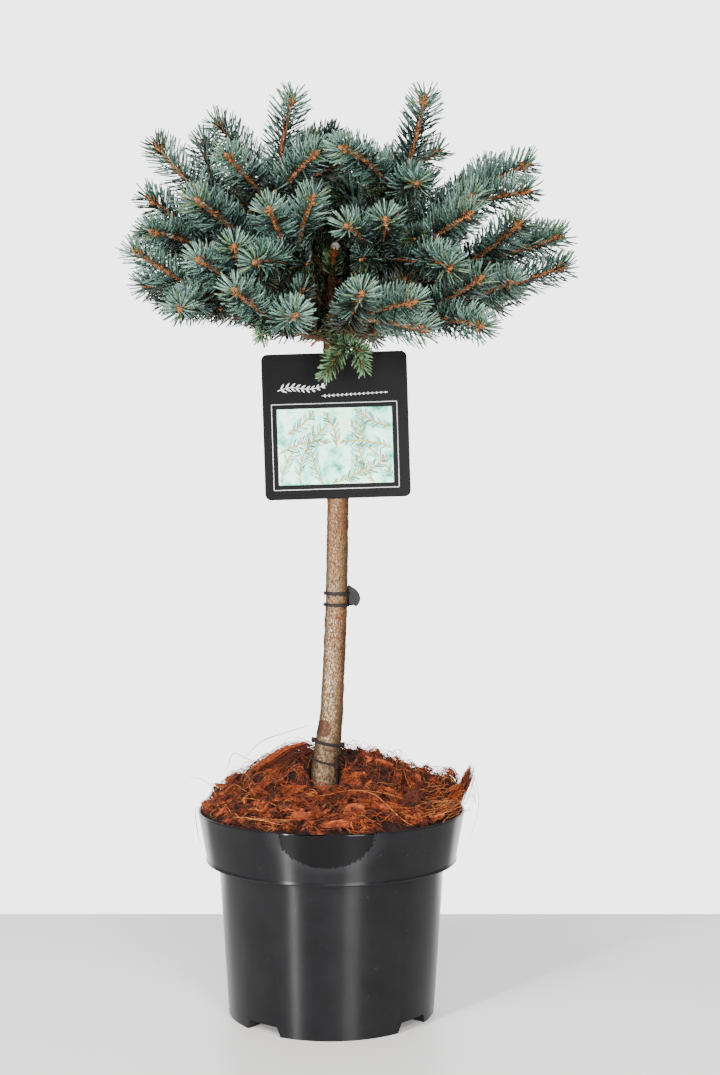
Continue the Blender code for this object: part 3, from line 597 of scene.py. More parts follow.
class Nodes:
    """Short names for the nodes of one material."""

    def __init__(self, name, roughness, gloss=0.5):
        self.mat = bpy.data.materials.new(name)
        self.mat.use_nodes = True
        self.tree = self.mat.node_tree
        self.shader = self.tree.nodes["Principled BSDF"]
        self.shader.inputs["Roughness"].default_value = roughness
        self.shader.inputs["Specular IOR Level"].default_value = gloss
        self.place = self.tree.nodes.new("ShaderNodeTexCoord").outputs["Object"]

    def feed(self, socket, value):
        """Sets a socket to a value, or links it to another node's output."""
        if isinstance(value, bpy.types.NodeSocket):
            self.tree.links.new(value, socket)
        else:
            socket.default_value = value

    def add(self, kind, **values):
        node = self.tree.nodes.new("ShaderNode" + kind)
        for name, value in values.items():
            self.feed(node.inputs[name], value)
        return node

    def stretched(self, upright):
        """The object's coordinates with their height scaled."""
        return self.add("Mapping", Scale=(1, 1, upright), Vector=self.place).outputs["Vector"]

    def noise(self, scale, detail=4.0, roughness=0.55, vector=None, distortion=0.0):
        node = self.add("TexNoise", Scale=scale, Detail=detail, Roughness=roughness, Distortion=distortion,
                        Vector=vector or self.place)
        return node.outputs["Fac"]

    def ramp(self, factor, stops):
        node = self.add("ValToRGB", Fac=factor)
        elements = node.color_ramp.elements
        while len(elements) < len(stops):
            elements.new(0.5)
        for element, (place, colour) in zip(elements, stops):
            element.position = place
            element.color = colour
        return node.outputs["Color"]

    def mix(self, factor, first, second, mode="MIX"):
        node = self.add("Mix")
        node.data_type = "RGBA"
        node.blend_type = mode
        sockets = {s.identifier: s for s in node.inputs}
        for name, value in (("Factor_Float", factor), ("A_Color", first), ("B_Color", second)):
            self.feed(sockets[name], value)
        return {s.identifier: s for s in node.outputs}["Result_Color"]

    def split(self):
        return self.add("SeparateXYZ", Vector=self.place).outputs

    def math(self, operation, *values):
        node = self.add("Math")
        node.operation = operation
        for socket, value in zip(node.inputs, values):
            self.feed(socket, value)
        return node.outputs[0]

    def plus(self, first, second):
        return self.math("ADD", first, second)

    def minus(self, first, second):
        return self.math("SUBTRACT", first, second)

    def times(self, first, second):
        return self.math("MULTIPLY", first, second)

    def clamped(self, value, high):
        return self.math("MINIMUM", self.math("MAXIMUM", value, 0.0), high)

    def link(self, socket, name):
        self.tree.links.new(socket, self.shader.inputs[name])

    def colour(self, socket):
        self.link(socket, "Base Color")

    def bump(self, height, strength, distance):
        node = self.add("Bump", Strength=strength, Distance=distance, Height=height)
        self.link(node.outputs["Normal"], "Normal")


def needle_material(name, dark, light):
    n = Nodes(name, 0.46)
    n.colour(n.ramp(n.noise(420, 3), shades((0.38, *dark), (0.60, *light))))
    return n.mat


def bark_material(name, colours, scale, upright):
    n = Nodes(name, 0.86)
    patches = n.noise(scale, 6, 0.62, n.stretched(upright))
    flecks = n.noise(scale * 2.4, 5, 0.7, n.stretched(0.6), 0.6)
    base = n.ramp(patches, [(place, srgb(*colour)) for place, colour in zip(BARK_STOPS, colours)])
    dark = n.ramp(flecks, ((0.40, (0.24, 0.19, 0.15, 1)), (0.50, (1, 1, 1, 1))))
    n.colour(n.mix(0.80, base, dark, "MULTIPLY"))
    n.bump(flecks, 0.5, 0.0006)
    return n.mat


def trunk_material():
    """Tan young bark under fine pale flecks and dark specks, dark at its foot and orange at the leader; the
    flecks gather as a painted highlight on the lit front, and the flanks and the bark inside the crown
    carry painted shade.
    """
    n = Nodes("trunk_bark", 0.84, 0.12)
    x, y, z = n.split()
    low, high = STEM[0][0], STEM[-1][0]
    # The stem's lean goes through a ramp, so it is put between 0 and 1 for it and back again
    leans = [((height - low) / (high - low), 0.5 + 0.5 * lean / WIDEST_LEAN) for height, lean, _ in STEM]
    upward = n.times(n.minus(z, low), 1 / (high - low))
    lean = n.ramp(upward, greys(*leans))
    aside = n.minus(x, n.math("MULTIPLY_ADD", lean, 2 * WIDEST_LEAN, -WIDEST_LEAN))
    aside = n.math("MULTIPLY_ADD", aside, 0.5 / TRUNK_RADIUS, 0.5)
    broad = n.noise(60, 4, 0.6, n.stretched(0.4))
    tans = shades((0.36, 98, 58, 36), (0.48, 114, 81, 52), (0.58, 93, 75, 47), (0.70, 110, 67, 44))
    base = n.ramp(broad, tans)
    # Pale flecks, fewer at the flanks and higher up: the band of flecks across the trunk is a painted
    # highlight where the lamps light its front
    flecks = n.noise(1020, 5, 0.68, n.stretched(0.42))
    pale = n.ramp(flecks, greys((0.50, 0), (0.60, 1)))
    lit = n.ramp(aside, greys(*LIT_PALE_BAND))
    fewer = n.ramp(upward, greys((0.30, 1), (0.52, 0.44)))
    base = n.mix(n.times(n.times(pale, lit), fewer), base, srgb(204, 187, 170))
    # Dark specks and red-brown scars
    spots = n.noise(1150, 4, 0.7, n.stretched(0.6), 0.4)
    dark = n.ramp(spots, ((0.39, srgb(58, 35, 25)), (0.47, (1, 1, 1, 1))))
    base = n.mix(0.92, base, dark, "MULTIPLY")
    scars = n.ramp(n.noise(150, 4, 0.65, n.stretched(1.3)), greys((0.60, 0), (0.68, 1)))
    base = n.mix(n.times(scars, 0.55), base, srgb(110, 58, 38))
    # A bare red-brown patch over the lower tie
    across = n.math("POWER", n.times(n.plus(x, -BARE_PATCH[0]), 150.0), 2.0)
    along = n.math("POWER", n.times(n.minus(z, BARE_PATCH[1]), 150.0), 2.0)
    from_patch = n.plus(across, along)
    patch = n.math("LESS_THAN", n.plus(from_patch, n.times(broad, 0.8)), 1.5)
    patch = n.times(patch, n.math("LESS_THAN", y, 0.0))
    base = n.mix(n.times(patch, 0.85), base, srgb(72, 42, 31))
    # Dark mossy bark at the foot
    foot = n.clamped(n.times(n.minus(MOSS_TOP, z), 90.0), 0.80)
    mossy = shades((0.38, 38, 27, 20), (0.50, 88, 66, 48), (0.64, 142, 122, 102))
    moss = n.ramp(n.noise(420, 5, 0.7), mossy)
    base = n.mix(foot, base, moss)
    # Older bark inside the crown, darker also as painted shade under the boughs, and fresh orange bark by
    # the cut
    inside = n.clamped(n.times(n.minus(z, OLD_SHADED_BARK_FOOT), 90.0), 0.9)
    grain = n.noise(700, 4, 0.6)
    old = n.ramp(grain, shades((0.36, 42, 28, 19), (0.50, 82, 56, 38), (0.66, 124, 92, 66)))
    fresh = n.ramp(grain, shades((0.36, 110, 52, 26), (0.50, 176, 92, 48), (0.66, 206, 130, 80)))
    by_cut = n.clamped(n.times(n.minus(z, FRESH_BARK_FOOT), 160.0), 1.0)
    leader = n.mix(by_cut, old, fresh)
    # Painted shade: the bark is darker toward both flanks, where the lamps light it less
    flanks = n.ramp(aside, greys(*SHADED_FLANKS, blue=0.94))
    n.colour(n.mix(1.0, n.mix(inside, base, leader), flanks, "MULTIPLY"))
    n.bump(n.plus(flecks, spots), 1.0, 0.0009)
    return n.mat


def coir_material(name, dark, light):
    n = Nodes(name, 0.82, 0.25)
    n.colour(n.ramp(n.noise(430, 6, 0.72), shades((0.36, *dark), (0.62, *light))))
    n.bump(n.noise(1300, 4), 0.8, 0.0006)
    return n.mat


def pot_material():
    """Black glossy plastic with a thin film of dust, but for a near-black, glossier patch on the rim's
    front.
    """
    n = Nodes("pot_plastic", 0.26, 0.165)
    x, y, z = n.split()
    across = n.math("ABSOLUTE", n.times(n.plus(x, -DARK_PATCH_MIDDLE), 1 / DARK_PATCH_WIDTH))
    down = n.times(n.minus(RIM_TOP, z), 1 / DARK_PATCH_DEPTH)
    ragged = n.times(n.noise(480, 4, 0.85, n.stretched(0.55)), 0.60)
    deep = n.math("POWER", n.math("MAXIMUM", down, 0.0), 2.4)
    away = n.plus(n.plus(n.math("POWER", across, 1.8), deep), ragged)
    # A near-black, smoother patch on the rim's front, inside a ragged bell shape
    dark_patch = n.times(n.math("LESS_THAN", away, 1.27), n.math("LESS_THAN", y, 0.0))
    dusty = ((0.3, (0.0034, 0.0034, 0.0040, 1)), (0.75, (0.0074, 0.0073, 0.0082, 1)))
    dust = n.ramp(n.noise(30, 5, 0.62), dusty)
    specks = n.ramp(n.noise(620, 2, 0.5), ((0.76, (0, 0, 0, 1)), (0.785, (0.08, 0.076, 0.068, 1))))
    halo = n.times(n.math("MAXIMUM", n.minus(1.9, away), 0.0), 0.8)
    halo = n.times(halo, n.math("GREATER_THAN", z, BODY_TOP))
    film_colour = n.mix(halo, dust, (0.016, 0.016, 0.018, 1))
    n.colour(n.mix(dark_patch, n.mix(1.0, film_colour, specks, "ADD"), (0.0004, 0.0004, 0.0006, 1)))
    film = n.math("MULTIPLY_ADD", n.noise(60, 5, 0.65), 0.05, 0.305)
    n.link(n.minus(film, n.times(dark_patch, 0.22)), "Roughness")
    # Fine marks round the moulding draw each lamp out into an upright streak
    n.shader.inputs["Anisotropic"].default_value = 0.97
    n.shader.inputs["Anisotropic Rotation"].default_value = 0.25
    tangent = n.add("Tangent")
    tangent.direction_type = "RADIAL"
    tangent.axis = "Z"
    n.link(tangent.outputs["Tangent"], "Tangent")
    return n.mat


def plain_material(name, colour, roughness, grain, strength, gloss=0.5):
    """A moulded or printed surface with a fine grain, of an sRGB colour."""
    n = Nodes(name, roughness, gloss)
    colour = srgb(*colour)
    shade = tuple(0.82 * c for c in colour[:3]) + (1.0,)
    n.colour(n.ramp(n.noise(grain * 0.12, 3), ((0.3, shade), (0.7, colour))))
    n.bump(n.noise(grain, 3), strength, 0.0003)
    return n.mat


# Camera, lights and table

def make_camera():
    camera = bpy.data.cameras.new("camera")
    camera.sensor_fit = "VERTICAL"
    camera.sensor_width = CAMERA_SENSOR
    camera.sensor_height = CAMERA_SENSOR
    camera.lens = CAMERA_LENS
    obj = add_object("camera", camera)
    obj.location = CAMERA_PLACE
    obj.rotation_euler = (math.pi / 2 - CAMERA_DOWN, 0, 0)
    bpy.context.scene.camera = obj


def make_world():
    """A pale studio, brighter behind the plant than on the viewer's side."""
    world = bpy.data.worlds.new("studio")
    bpy.context.scene.world = world
    world.use_nodes = True
    tree = world.node_tree
    split = tree.nodes.new("ShaderNodeSeparateXYZ")
    tree.links.new(tree.nodes.new("ShaderNodeTexCoord").outputs["Generated"], split.inputs["Vector"])
    ramp = tree.nodes.new("ShaderNodeValToRGB")
    ramp.color_ramp.interpolation = "EASE"
    stops = ((BACK_FROM, FRONT_LIGHT), (BACK_TO, BACK_LIGHT))
    for element, (place, level) in zip(ramp.color_ramp.elements, stops):
        element.position = place
        element.color = [tint * level for tint in STUDIO_TINT] + [1]
    half = tree.nodes.new("ShaderNodeMath")
    half.operation = "MULTIPLY_ADD"
    half.inputs[1].default_value = 0.5
    half.inputs[2].default_value = 0.5
    tree.links.new(split.outputs["Y"], half.inputs[0])
    tree.links.new(half.outputs[0], ramp.inputs["Fac"])
    tree.links.new(ramp.outputs["Color"], tree.nodes["Background"].inputs["Color"])


def make_lights():
    """Lamps at the left and the right, seen as upright streaks in the pot."""
    for name, place, target, size, power in LAMPS:
        light = bpy.data.lights.new(name, "AREA")
        light.shape = "RECTANGLE"
        light.size, light.size_y = size
        light.energy = power
        obj = add_object(name, light)
        obj.location = place
        obj.rotation_euler = (Vector(target) - Vector(place)).to_track_quat("-Z", "Y").to_euler()


def make_table():
    wide, deep, thick = TABLE_SIZE
    bm = cube()
    for vert in bm.verts:
        x, y, z = vert.co
        vert.co = Vector((x * wide, (y - 0.5) * deep + TABLE_BACK, (z - 0.5) * thick))
    mesh = mesh_from("table", bm)
    n = Nodes("table", 0.45)
    n.colour(n.ramp(n.noise(6, 3), shades((0.3, 228, 225, 222), (0.7, 233, 230, 227))))
    mesh.materials.append(n.mat)
    add_object("table", mesh)


# Pot

def lathe(name, profile, segments):
    """Turns an outline of (radius, height) that starts and ends on the axis."""
    bm = bmesh.new()
    rings = []
    for radius, height in profile:
        turns = (math.tau * k / segments for k in range(segments if radius else 1))
        rings.append([bm.verts.new((radius * math.cos(a), radius * math.sin(a), height)) for a in turns])
    for low, high in zip(rings, rings[1:]):
        for k in range(segments):
            corners = [low[k % len(low)], low[(k + 1) % len(low)],
                       high[(k + 1) % len(high)], high[k % len(high)]]
            bm.faces.new(list(dict.fromkeys(corners)))
    bmesh.ops.recalc_face_normals(bm, faces=bm.faces[:])
    return add_object(name, mesh_from(name, bm))


def block(name, size, centre, heading, lean=0.0):
    """A box with round edges, whose width grows downward by lean times the depth."""
    bm = cube()
    for vert in bm.verts:
        width = size[1] + (lean * size[2] if vert.co.z < 0 else 0)
        vert.co = Vector((vert.co.x * size[0], vert.co.y * width, vert.co.z * size[2]))
    bmesh.ops.bevel(bm, geom=bm.edges[:], offset=0.0012, segments=3, affect="EDGES", profile=0.5)
    obj = add_object(name, mesh_from(name, bm))
    obj.location = centre
    obj.rotation_euler.z = math.radians(heading)
    return obj


def boolean(obj, other, operation):
    step = obj.modifiers.new(operation.lower(), "BOOLEAN")
    step.operation = operation
    step.object = other
    graph = bpy.context.evaluated_depsgraph_get()
    mesh = bpy.data.meshes.new_from_object(obj.evaluated_get(graph))
    obj.modifiers.clear()
    obj.data = mesh
    bpy.data.objects.remove(other)


def rounded(profile, radius, steps=4):
    """The outline with each inner corner turned into a short arc."""
    result = [profile[0]]
    for corners in zip(profile, profile[1:], profile[2:]):
        a, b, c = (np.array(corner, float) for corner in corners)
        cut = min(radius, 0.45 * np.linalg.norm(a - b), 0.45 * np.linalg.norm(c - b))
        arc = curve(b + cut * unit(a - b), b, b + cut * unit(c - b), steps)
        result += [tuple(point) for point in arc]
    result.append(profile[-1])
    return result


def make_pot():
    profile = [
        (0, 0), (FOOT_RADIUS, 0), (BODY_RADIUS, BODY_TOP + 0.0006),
        (RIM_LOW_RADIUS - 0.0016, BODY_TOP - 0.0008), (RIM_LOW_RADIUS + 0.0005, BODY_TOP - 0.0004),
        (RIM_LOW_RADIUS + 0.0008, BODY_TOP + 0.0008), (RIM_LOW_RADIUS + 0.0002, BODY_TOP + 0.0022),
        (RIM_RADIUS - 0.0004, RIM_TOP - 0.0030), (RIM_RADIUS, RIM_TOP - 0.0008),
        (RIM_RADIUS - 0.0009, RIM_TOP), (RIM_RADIUS - 0.0019, RIM_TOP - 0.0012),
        (RIM_LOW_RADIUS - 0.0016, BODY_TOP + 0.0018), (BODY_RADIUS - WALL, BODY_TOP + 0.0018),
        (FOOT_RADIUS - WALL, FLOOR), (0, FLOOR),
    ]
    pot = lathe("pot_moulding", rounded(profile, 0.0008), 160)
    length = DRAIN_DEPTH + WALL
    inner_end = FOOT_RADIUS - DRAIN_DEPTH
    wall_inside = FOOT_RADIUS - WALL / 2
    inside = [(0, -CUT), (wall_inside, -CUT), (wall_inside, 2 * CUT), (0, 2 * CUT)]
    low, high = DRAIN_HEIGHT / 2, DRAIN_HEIGHT + 4 * WALL
    bore = [(0, low), (DRAIN_HOLE_RADIUS, low), (DRAIN_HOLE_RADIUS, high), (0, high)]
    for heading in DRAIN_HEADINGS:
        middle = polar(inner_end - WALL + length / 2, heading, (DRAIN_HEIGHT + WALL + SKIM) / 2)
        size = (length, DRAIN_WIDTH + 2 * WALL, DRAIN_HEIGHT + WALL - SKIM)
        housing = block("housing", size, middle, heading)
        boolean(housing, lathe("inside", inside, 64), "INTERSECT")
        boolean(pot, housing, "UNION")
        middle = polar(inner_end + DRAIN_DEPTH, heading, (DRAIN_HEIGHT - CUT) / 2)
        size = (2 * DRAIN_DEPTH, DRAIN_ROOF_WIDTH, DRAIN_HEIGHT + CUT)
        boolean(pot, block("notch", size, middle, heading, DRAIN_LEAN), "DIFFERENCE")
        hole = lathe("hole", bore, 32)
        hole.location = polar(inner_end + 2 * DRAIN_HOLE_RADIUS, heading, 0)
        boolean(pot, hole, "DIFFERENCE")
    mesh = pot.data
    bpy.data.objects.remove(pot)
    mesh.shade_smooth()
    link("pot_moulding", mesh, pot_material(), ["pot"])
    mesh.set_sharp_from_angle(angle=math.radians(40))


# Heap of coir

def toward_back(y):
    share = np.clip((y + HEAP_TURN / 2) / HEAP_TURN, 0, 1)
    return share * share * (3 - 2 * share)


def from_clump(x, y):
    """Degrees round the pot from the clump's heading."""
    return (np.degrees(np.arctan2(y, x)) - CLUMP_HEADING + 180) % 360 - 180


def heap_height(x, y):
    radius = np.hypot(x, y)
    share = np.minimum(1.0, radius / HEAP_RADIUS)
    back = toward_back(y)
    rise = HEAP_RISE_FRONT + (HEAP_RISE_BACK - HEAP_RISE_FRONT) * back
    height = HEAP_EDGE + rise * (1 - share * share) ** 0.8
    around, across = from_clump(x, y) / CLUMP_SPREAD[0], (radius - CLUMP_RADIUS) / CLUMP_SPREAD[1]
    clump = CLUMP_RISE * np.exp(-around ** 2 - across ** 2)
    lumps = 0.0022 * np.sin(x * 190 + 1.3) * np.sin(y * 170 + 0.4) + 0.0014 * np.sin(x * 420 + y * 230)
    dent = DENT * (1 - back) * np.exp(-(radius / DENT_REACH) ** 2)
    return height + clump - dent + lumps * np.clip((0.112 - radius) / 0.02, 0, 1)


def noise_at(x, y, scale, layer):
    values = [noise.noise(Vector((a * scale, b * scale, layer))) for a, b in zip(np.ravel(x), np.ravel(y))]
    return np.reshape(values, np.shape(x))


def lump_at(x, y):
    """High on a lump of coir and low in the gaps between lumps."""
    return noise_at(x, y, LUMP_SCALE, 7.0)


def make_heap_ground(mat):
    """The ground of the heap, under its chips and fibres, painted near black as the shade in the gaps
    between them.
    """
    segments, radii = 120, np.linspace(0.013, 0.1070, 36)
    angle = math.tau * np.arange(segments) / segments
    lean, _ = stem_at(0.18)
    rings = []
    for share, radius in zip(np.linspace(0, 1, len(radii)), radii):
        x = radius * np.cos(angle) + lean * (1 - share)
        y = radius * np.sin(angle)
        z = heap_height(x, y) - 0.0050 + 0.0030 * toward_back(y)
        rough = 0.0042 * noise_at(x, y, 150, 3.0)
        hollow = LUMP_RISE * np.minimum(lump_at(x, y), 0.0)
        rings.append(np.stack((x, y, z + rough + hollow), axis=1))
    # The outer and inner rings are repeated lower down, which closes the shape
    for edge in (rings[-1], rings[0]):
        rings.append(np.column_stack((edge[:, :2], np.full(segments, HEAP_EDGE - 0.006))))
    quads = ring_quads(len(rings), segments, closed=True)[:, ::-1]
    link_parts("coir_ground", [(np.concatenate(rings), [quads])], mat, *COIR)


def on_heap(rng, count, edge):
    """Places spread evenly over the heap, as x and y."""
    spread = rng.uniform(0, 1, count) ** 0.5 * edge
    turn = rng.uniform(0, math.tau, count)
    return spread * np.cos(turn), spread * np.sin(turn)


def heap_paths(rng, count, steps, length, wander, lift, arch, bunch, leave_gaps):
    """Curved fibres that lie on the heap, in bunches that run side by side."""
    bunches = math.ceil(count / bunch)

    def shared(values):
        return np.repeat(values, bunch)[:count]

    x0, y0 = (shared(v) for v in on_heap(rng, bunches, FIBRE_EDGE))
    heading = shared(rng.uniform(0, math.tau, bunches))
    bend = shared(rng.normal(0, wander, bunches))
    tilt = np.zeros(count)
    if bunch > 1:
        tilt = shared(rng.normal(0, 0.16, bunches))
        x0 = x0 + rng.normal(0, BUNCH_SPREAD, count)
        y0 = y0 + rng.normal(0, BUNCH_SPREAD, count)
        heading = heading + rng.normal(0, 0.20, count)
    lengths = rng.uniform(*length, count)
    t = np.linspace(-0.5, 0.5, steps)
    ripple = np.cumsum(rng.normal(0, 0.9 * wander, (count, steps)), axis=1) / steps
    angle = heading[:, None] + bend[:, None] * t + ripple
    step = lengths[:, None] / (steps - 1)
    x = np.cumsum(np.cos(angle) * step, axis=1)
    y = np.cumsum(np.sin(angle) * step, axis=1)
    x += x0[:, None] - x.mean(axis=1, keepdims=True)
    y += y0[:, None] - y.mean(axis=1, keepdims=True)
    # Ends that reach over the rim are drawn back in
    radius = np.hypot(x, y)
    held = FIBRE_EDGE + 0.15 * (radius - FIBRE_EDGE)
    pull = np.where(radius > FIBRE_EDGE, held / np.maximum(radius, 1e-9), 1.0)
    x, y = x * pull, y * pull
    raise_by = rng.uniform(*lift, count)[:, None] + rng.uniform(*arch, count)[:, None] * np.cos(math.pi * t)
    z = heap_height(x, y) + raise_by + tilt[:, None] * lengths[:, None] * t + rng.normal(0, 0.0003, x.shape)
    lump = lump_at(x.mean(axis=1), y.mean(axis=1))
    z = np.maximum(z, heap_height(x, y) - 0.004) + LUMP_RISE * lump[:, None]
    lean, thick = stem_at(0.185)
    clear = np.hypot(x - lean, y).min(axis=1) > thick + 0.0018
    if leave_gaps:
        clear &= lump > GAP_LEVEL
    return np.stack((x, y, z), axis=-1)[clear]


def fibre_solids(rng, paths, thickness, ends=0.35):
    count, steps, _ = paths.shape
    profile = 1 - (1 - ends) * np.abs(np.linspace(-1, 1, steps)) ** 3
    width = rng.uniform(*thickness, count)[:, None] * profile * rng.uniform(0.8, 1.2, (count, steps))
    return sweep(paths, width, 3, np.tile(UP, (count, 1)))


class Husks:
    """Torn flat pieces of husk: where each lies, how it is turned, and its half length, width and depth."""

    def __init__(self, rng, centre, normal, axis, half, narrow, thickness):
        self.rng = rng
        self.centre, self.normal, self.axis = centre, normal, axis
        self.cross = np.cross(normal, axis)
        self.half, self.narrow, self.thickness = half, narrow, thickness

    @classmethod
    def strewn(cls, rng, count, length, steep=0.62, lift=(-0.0028, 0.0024)):
        """Pieces strewn over the heap, but for its gaps, its clump and the foot of the stem."""
        x, y = on_heap(rng, count, HUSK_EDGE)
        lean, thick = stem_at(0.185)
        clear = np.hypot(x - lean, y) > thick + 0.007
        clear &= (np.abs(from_clump(x, y)) > 18) | (np.hypot(x, y) < 0.080)
        clear &= lump_at(x, y) > GAP_LEVEL
        x, y = x[clear], y[clear]
        count = len(x)
        centre = np.stack((x, y, heap_height(x, y) + rng.uniform(*lift, count)), axis=-1)
        normal = unit(UP + rng.normal(0, steep, (count, 3)))
        axis = unit(np.cross(normal, rng.normal(0, 1, (count, 3))))
        half = rng.uniform(*length, count) / 2
        narrow = half * rng.uniform(0.24, 0.52, count)
        return cls(rng, centre, normal, axis, half, narrow, half * rng.uniform(0.06, 0.16, count))

    @classmethod
    def placed(cls, rng, rows):
        """Rows of x, y, lift, heading, length, width, and how far the piece is tipped toward the viewer."""
        x, y, lift, heading, length, width, tip = np.array(rows, float).T
        turn, tip = np.radians(heading), np.radians(tip)
        flat = np.zeros_like(tip)
        centre = np.stack((x, y, heap_height(x, y) + lift), axis=-1)
        normal = np.stack((flat, -np.sin(tip), np.cos(tip)), axis=-1)
        level = np.stack((np.cos(turn), np.sin(turn), flat), axis=-1)
        axis = unit(level - normal * np.sum(level * normal, axis=-1, keepdims=True))
        return cls(rng, centre, normal, axis, length / 2, width / 2, np.full(len(x), 0.0007))

    def plates(self, corners=10):
        """Uneven plates with ragged ends."""
        rng, count = self.rng, len(self.centre)
        half = self.half[:, None]
        angle = math.tau * (np.arange(corners) + rng.uniform(-0.3, 0.3, (count, corners))) / corners
        reach = rng.uniform(0.62, 1.15, (count, corners))
        along = (reach * np.cos(angle) * half)[..., None] * self.axis[:, None]
        across = (reach * np.sin(angle) * self.narrow[:, None])[..., None] * self.cross[:, None]
        rim = self.centre[:, None] + along + across
        warp = rng.normal(0, 0.09, (count, corners)) * half
        top, low = (rim + (warp + side * self.thickness[:, None])[..., None] * self.normal[:, None]
                    for side in (1, -1))
        points = np.concatenate((top, low), axis=1).reshape(-1, 3)
        base = np.arange(count)[:, None] * 2 * corners
        here = np.arange(corners)
        sides = ring_quads(2, corners)[:, (0, 3, 2, 1)]
        return points, [np.concatenate((base + here, base + corners + here[::-1])),
                        (base[:, None] + sides).reshape(-1, 4)]

    def fibres(self, each, steps=5):
        """Fibres that lie along the pieces and stand out of their ends."""
        rng = self.rng
        count = len(self.centre) * each
        centre, normal, axis, cross, half, narrow, thick = (np.repeat(v, each, axis=0) for v in (
            self.centre, self.normal, self.axis, self.cross, self.half, self.narrow, self.thickness))
        t = np.linspace(-1, 1, steps)
        one = (count, 1)
        along = (rng.uniform(0.35, 1.25, one) * t + rng.uniform(-0.3, 0.3, one)) * half[:, None]
        across = (rng.uniform(-1, 1, one) + rng.normal(0, 0.16, one) * t) * narrow[:, None]
        above = rng.choice((1, 1, -1), one) * (thick + 0.0002)[:, None]
        above = above + rng.normal(0, 0.00035, (count, steps))
        return (centre[:, None] + along[..., None] * axis[:, None] + across[..., None] * cross[:, None]
                + above[..., None] * normal[:, None])


def hand_laid_fibres():
    """Fibres that stand out in the photograph."""
    lines = [MM * np.array(points) for points in STRANDS + STRAYS]
    for line in lines[:len(STRANDS)]:
        line[:, 2] += heap_height(line[:, 0], line[:, 1])
    return np.stack([through(line, 26) for line in lines])


def bundle_paths(rng, points, spread, count, steps=8):
    """Fibres that run together along a line and fray at its ends."""
    line = through(points, 40)
    start = rng.uniform(0.0, 0.45, count)
    end = rng.uniform(0.55, 1.0, count)
    share = start[:, None] + (end - start)[:, None] * np.linspace(0, 1, steps)
    spots = at_shares(line, share)
    offset = rng.normal(0, spread, (count, 1, 3))
    drift = offset + rng.normal(0, 0.5 * spread, (count, 1, 3)) * (share[..., None] - 0.5)
    taper = np.interp(share, (0, 0.5, 1), (1.3, 1.0, 0.45))
    wander = np.cumsum(rng.normal(0, 0.16 * spread, spots.shape), axis=1)
    return spots + drift * taper[..., None] + wander


def make_heap():
    rng = np.random.default_rng(21)
    mats = {name: coir_material("coir_" + name, *colours) for name, colours in COIR_COLOURS.items()}
    make_heap_ground(mats.pop("ground"))
    fibres = {kind: [] for kind in mats}
    for kind, *laid, thickness in LYING_FIBRES:
        fibres[kind].append((heap_paths(rng, *laid), thickness))
    fibres["gold"].append((hand_laid_fibres(), STRAY))
    for kind, count, length, each in STREWN_HUSKS:
        husks = [Husks.strewn(rng, count, length)]
        rows = [row[1:] for row in HUSKS if row[0] == kind]
        if rows:
            husks.append(Husks.placed(rng, rows))
        plates = [husk.plates() for husk in husks]
        link_parts("coir_husks_" + kind, plates, mats[kind], *COIR, smooth=False)
        for husk, number in zip(husks, (each, LARGE_HUSK_FIBRES)):
            fibres[kind].append((husk.fibres(number), FINE))
    for kind, spread, count, points in BUNDLES:
        paths = bundle_paths(rng, MM * np.array(points), MM * spread, count)
        fibres[kind].append((paths, FINE if kind == "gold" else COARSE))
    fibres["rust"].append((heap_paths(rng, *STANDING_FIBRES), FINE))
    for kind, groups in fibres.items():
        solids = [fibre_solids(rng, paths, thickness) for paths, thickness in groups]
        link_parts("coir_fibres_" + kind, solids, mats[kind], *COIR)


# Stem

def bark_relief(spot):
    """How far the bark stands out at a place: plates and flakes."""
    x, y, z = Vector(spot)
    plates = noise.fractal(Vector((x * 240, y * 240, z * 110)), 0.7, 2.1, 3)
    flakes = noise.noise(Vector((x * 820, y * 820, z * 520)))
    return 0.00042 * plates + 0.00026 * flakes


def scar_relief(height, turn, radius, scars):
    """How far the rims of the small scars stand out at a place."""
    out = 0.0
    for scar_height, scar_turn, size in scars:
        if abs(height - scar_height) < 2 * size:
            away = (turn - scar_turn + math.pi) % math.tau - math.pi
            distance = math.hypot(away * radius, height - scar_height) / size
            out += SCAR_RISE * math.exp(-distance ** 2) * (1 - 1.5 * math.exp(-(distance / 0.45) ** 2))
    return out


def make_trunk():
    segments, step = 44, 0.0016
    heights = np.arange(STEM[0][0], STEM[-1][0], step)
    kernel = np.hanning(9)
    kernel /= kernel.sum()
    lean, radius = (np.convolve(np.pad(values, 4, "edge"), kernel, "valid") for values in stem_at(heights))
    rng = random.Random(5)
    ranges = ((0.19, 0.56), (0, math.tau), (0.0022, 0.0042))
    scars = [[rng.uniform(*limits) for limits in ranges] for _ in range(SCARS)]
    points = []
    for height, x, size in zip(heights, lean, radius):
        for turn in math.tau * np.arange(segments) / segments:
            spot = (x + size * math.cos(turn), size * math.sin(turn), height)
            out = size + bark_relief(spot) + scar_relief(height, turn, size, scars)
            points.append((x + out * math.cos(turn), out * math.sin(turn), height))
    mesh = array_mesh("trunk_bark", np.array(points), tube_faces(len(heights), segments))
    link("trunk_bark", mesh, trunk_material(), ["trunk"])


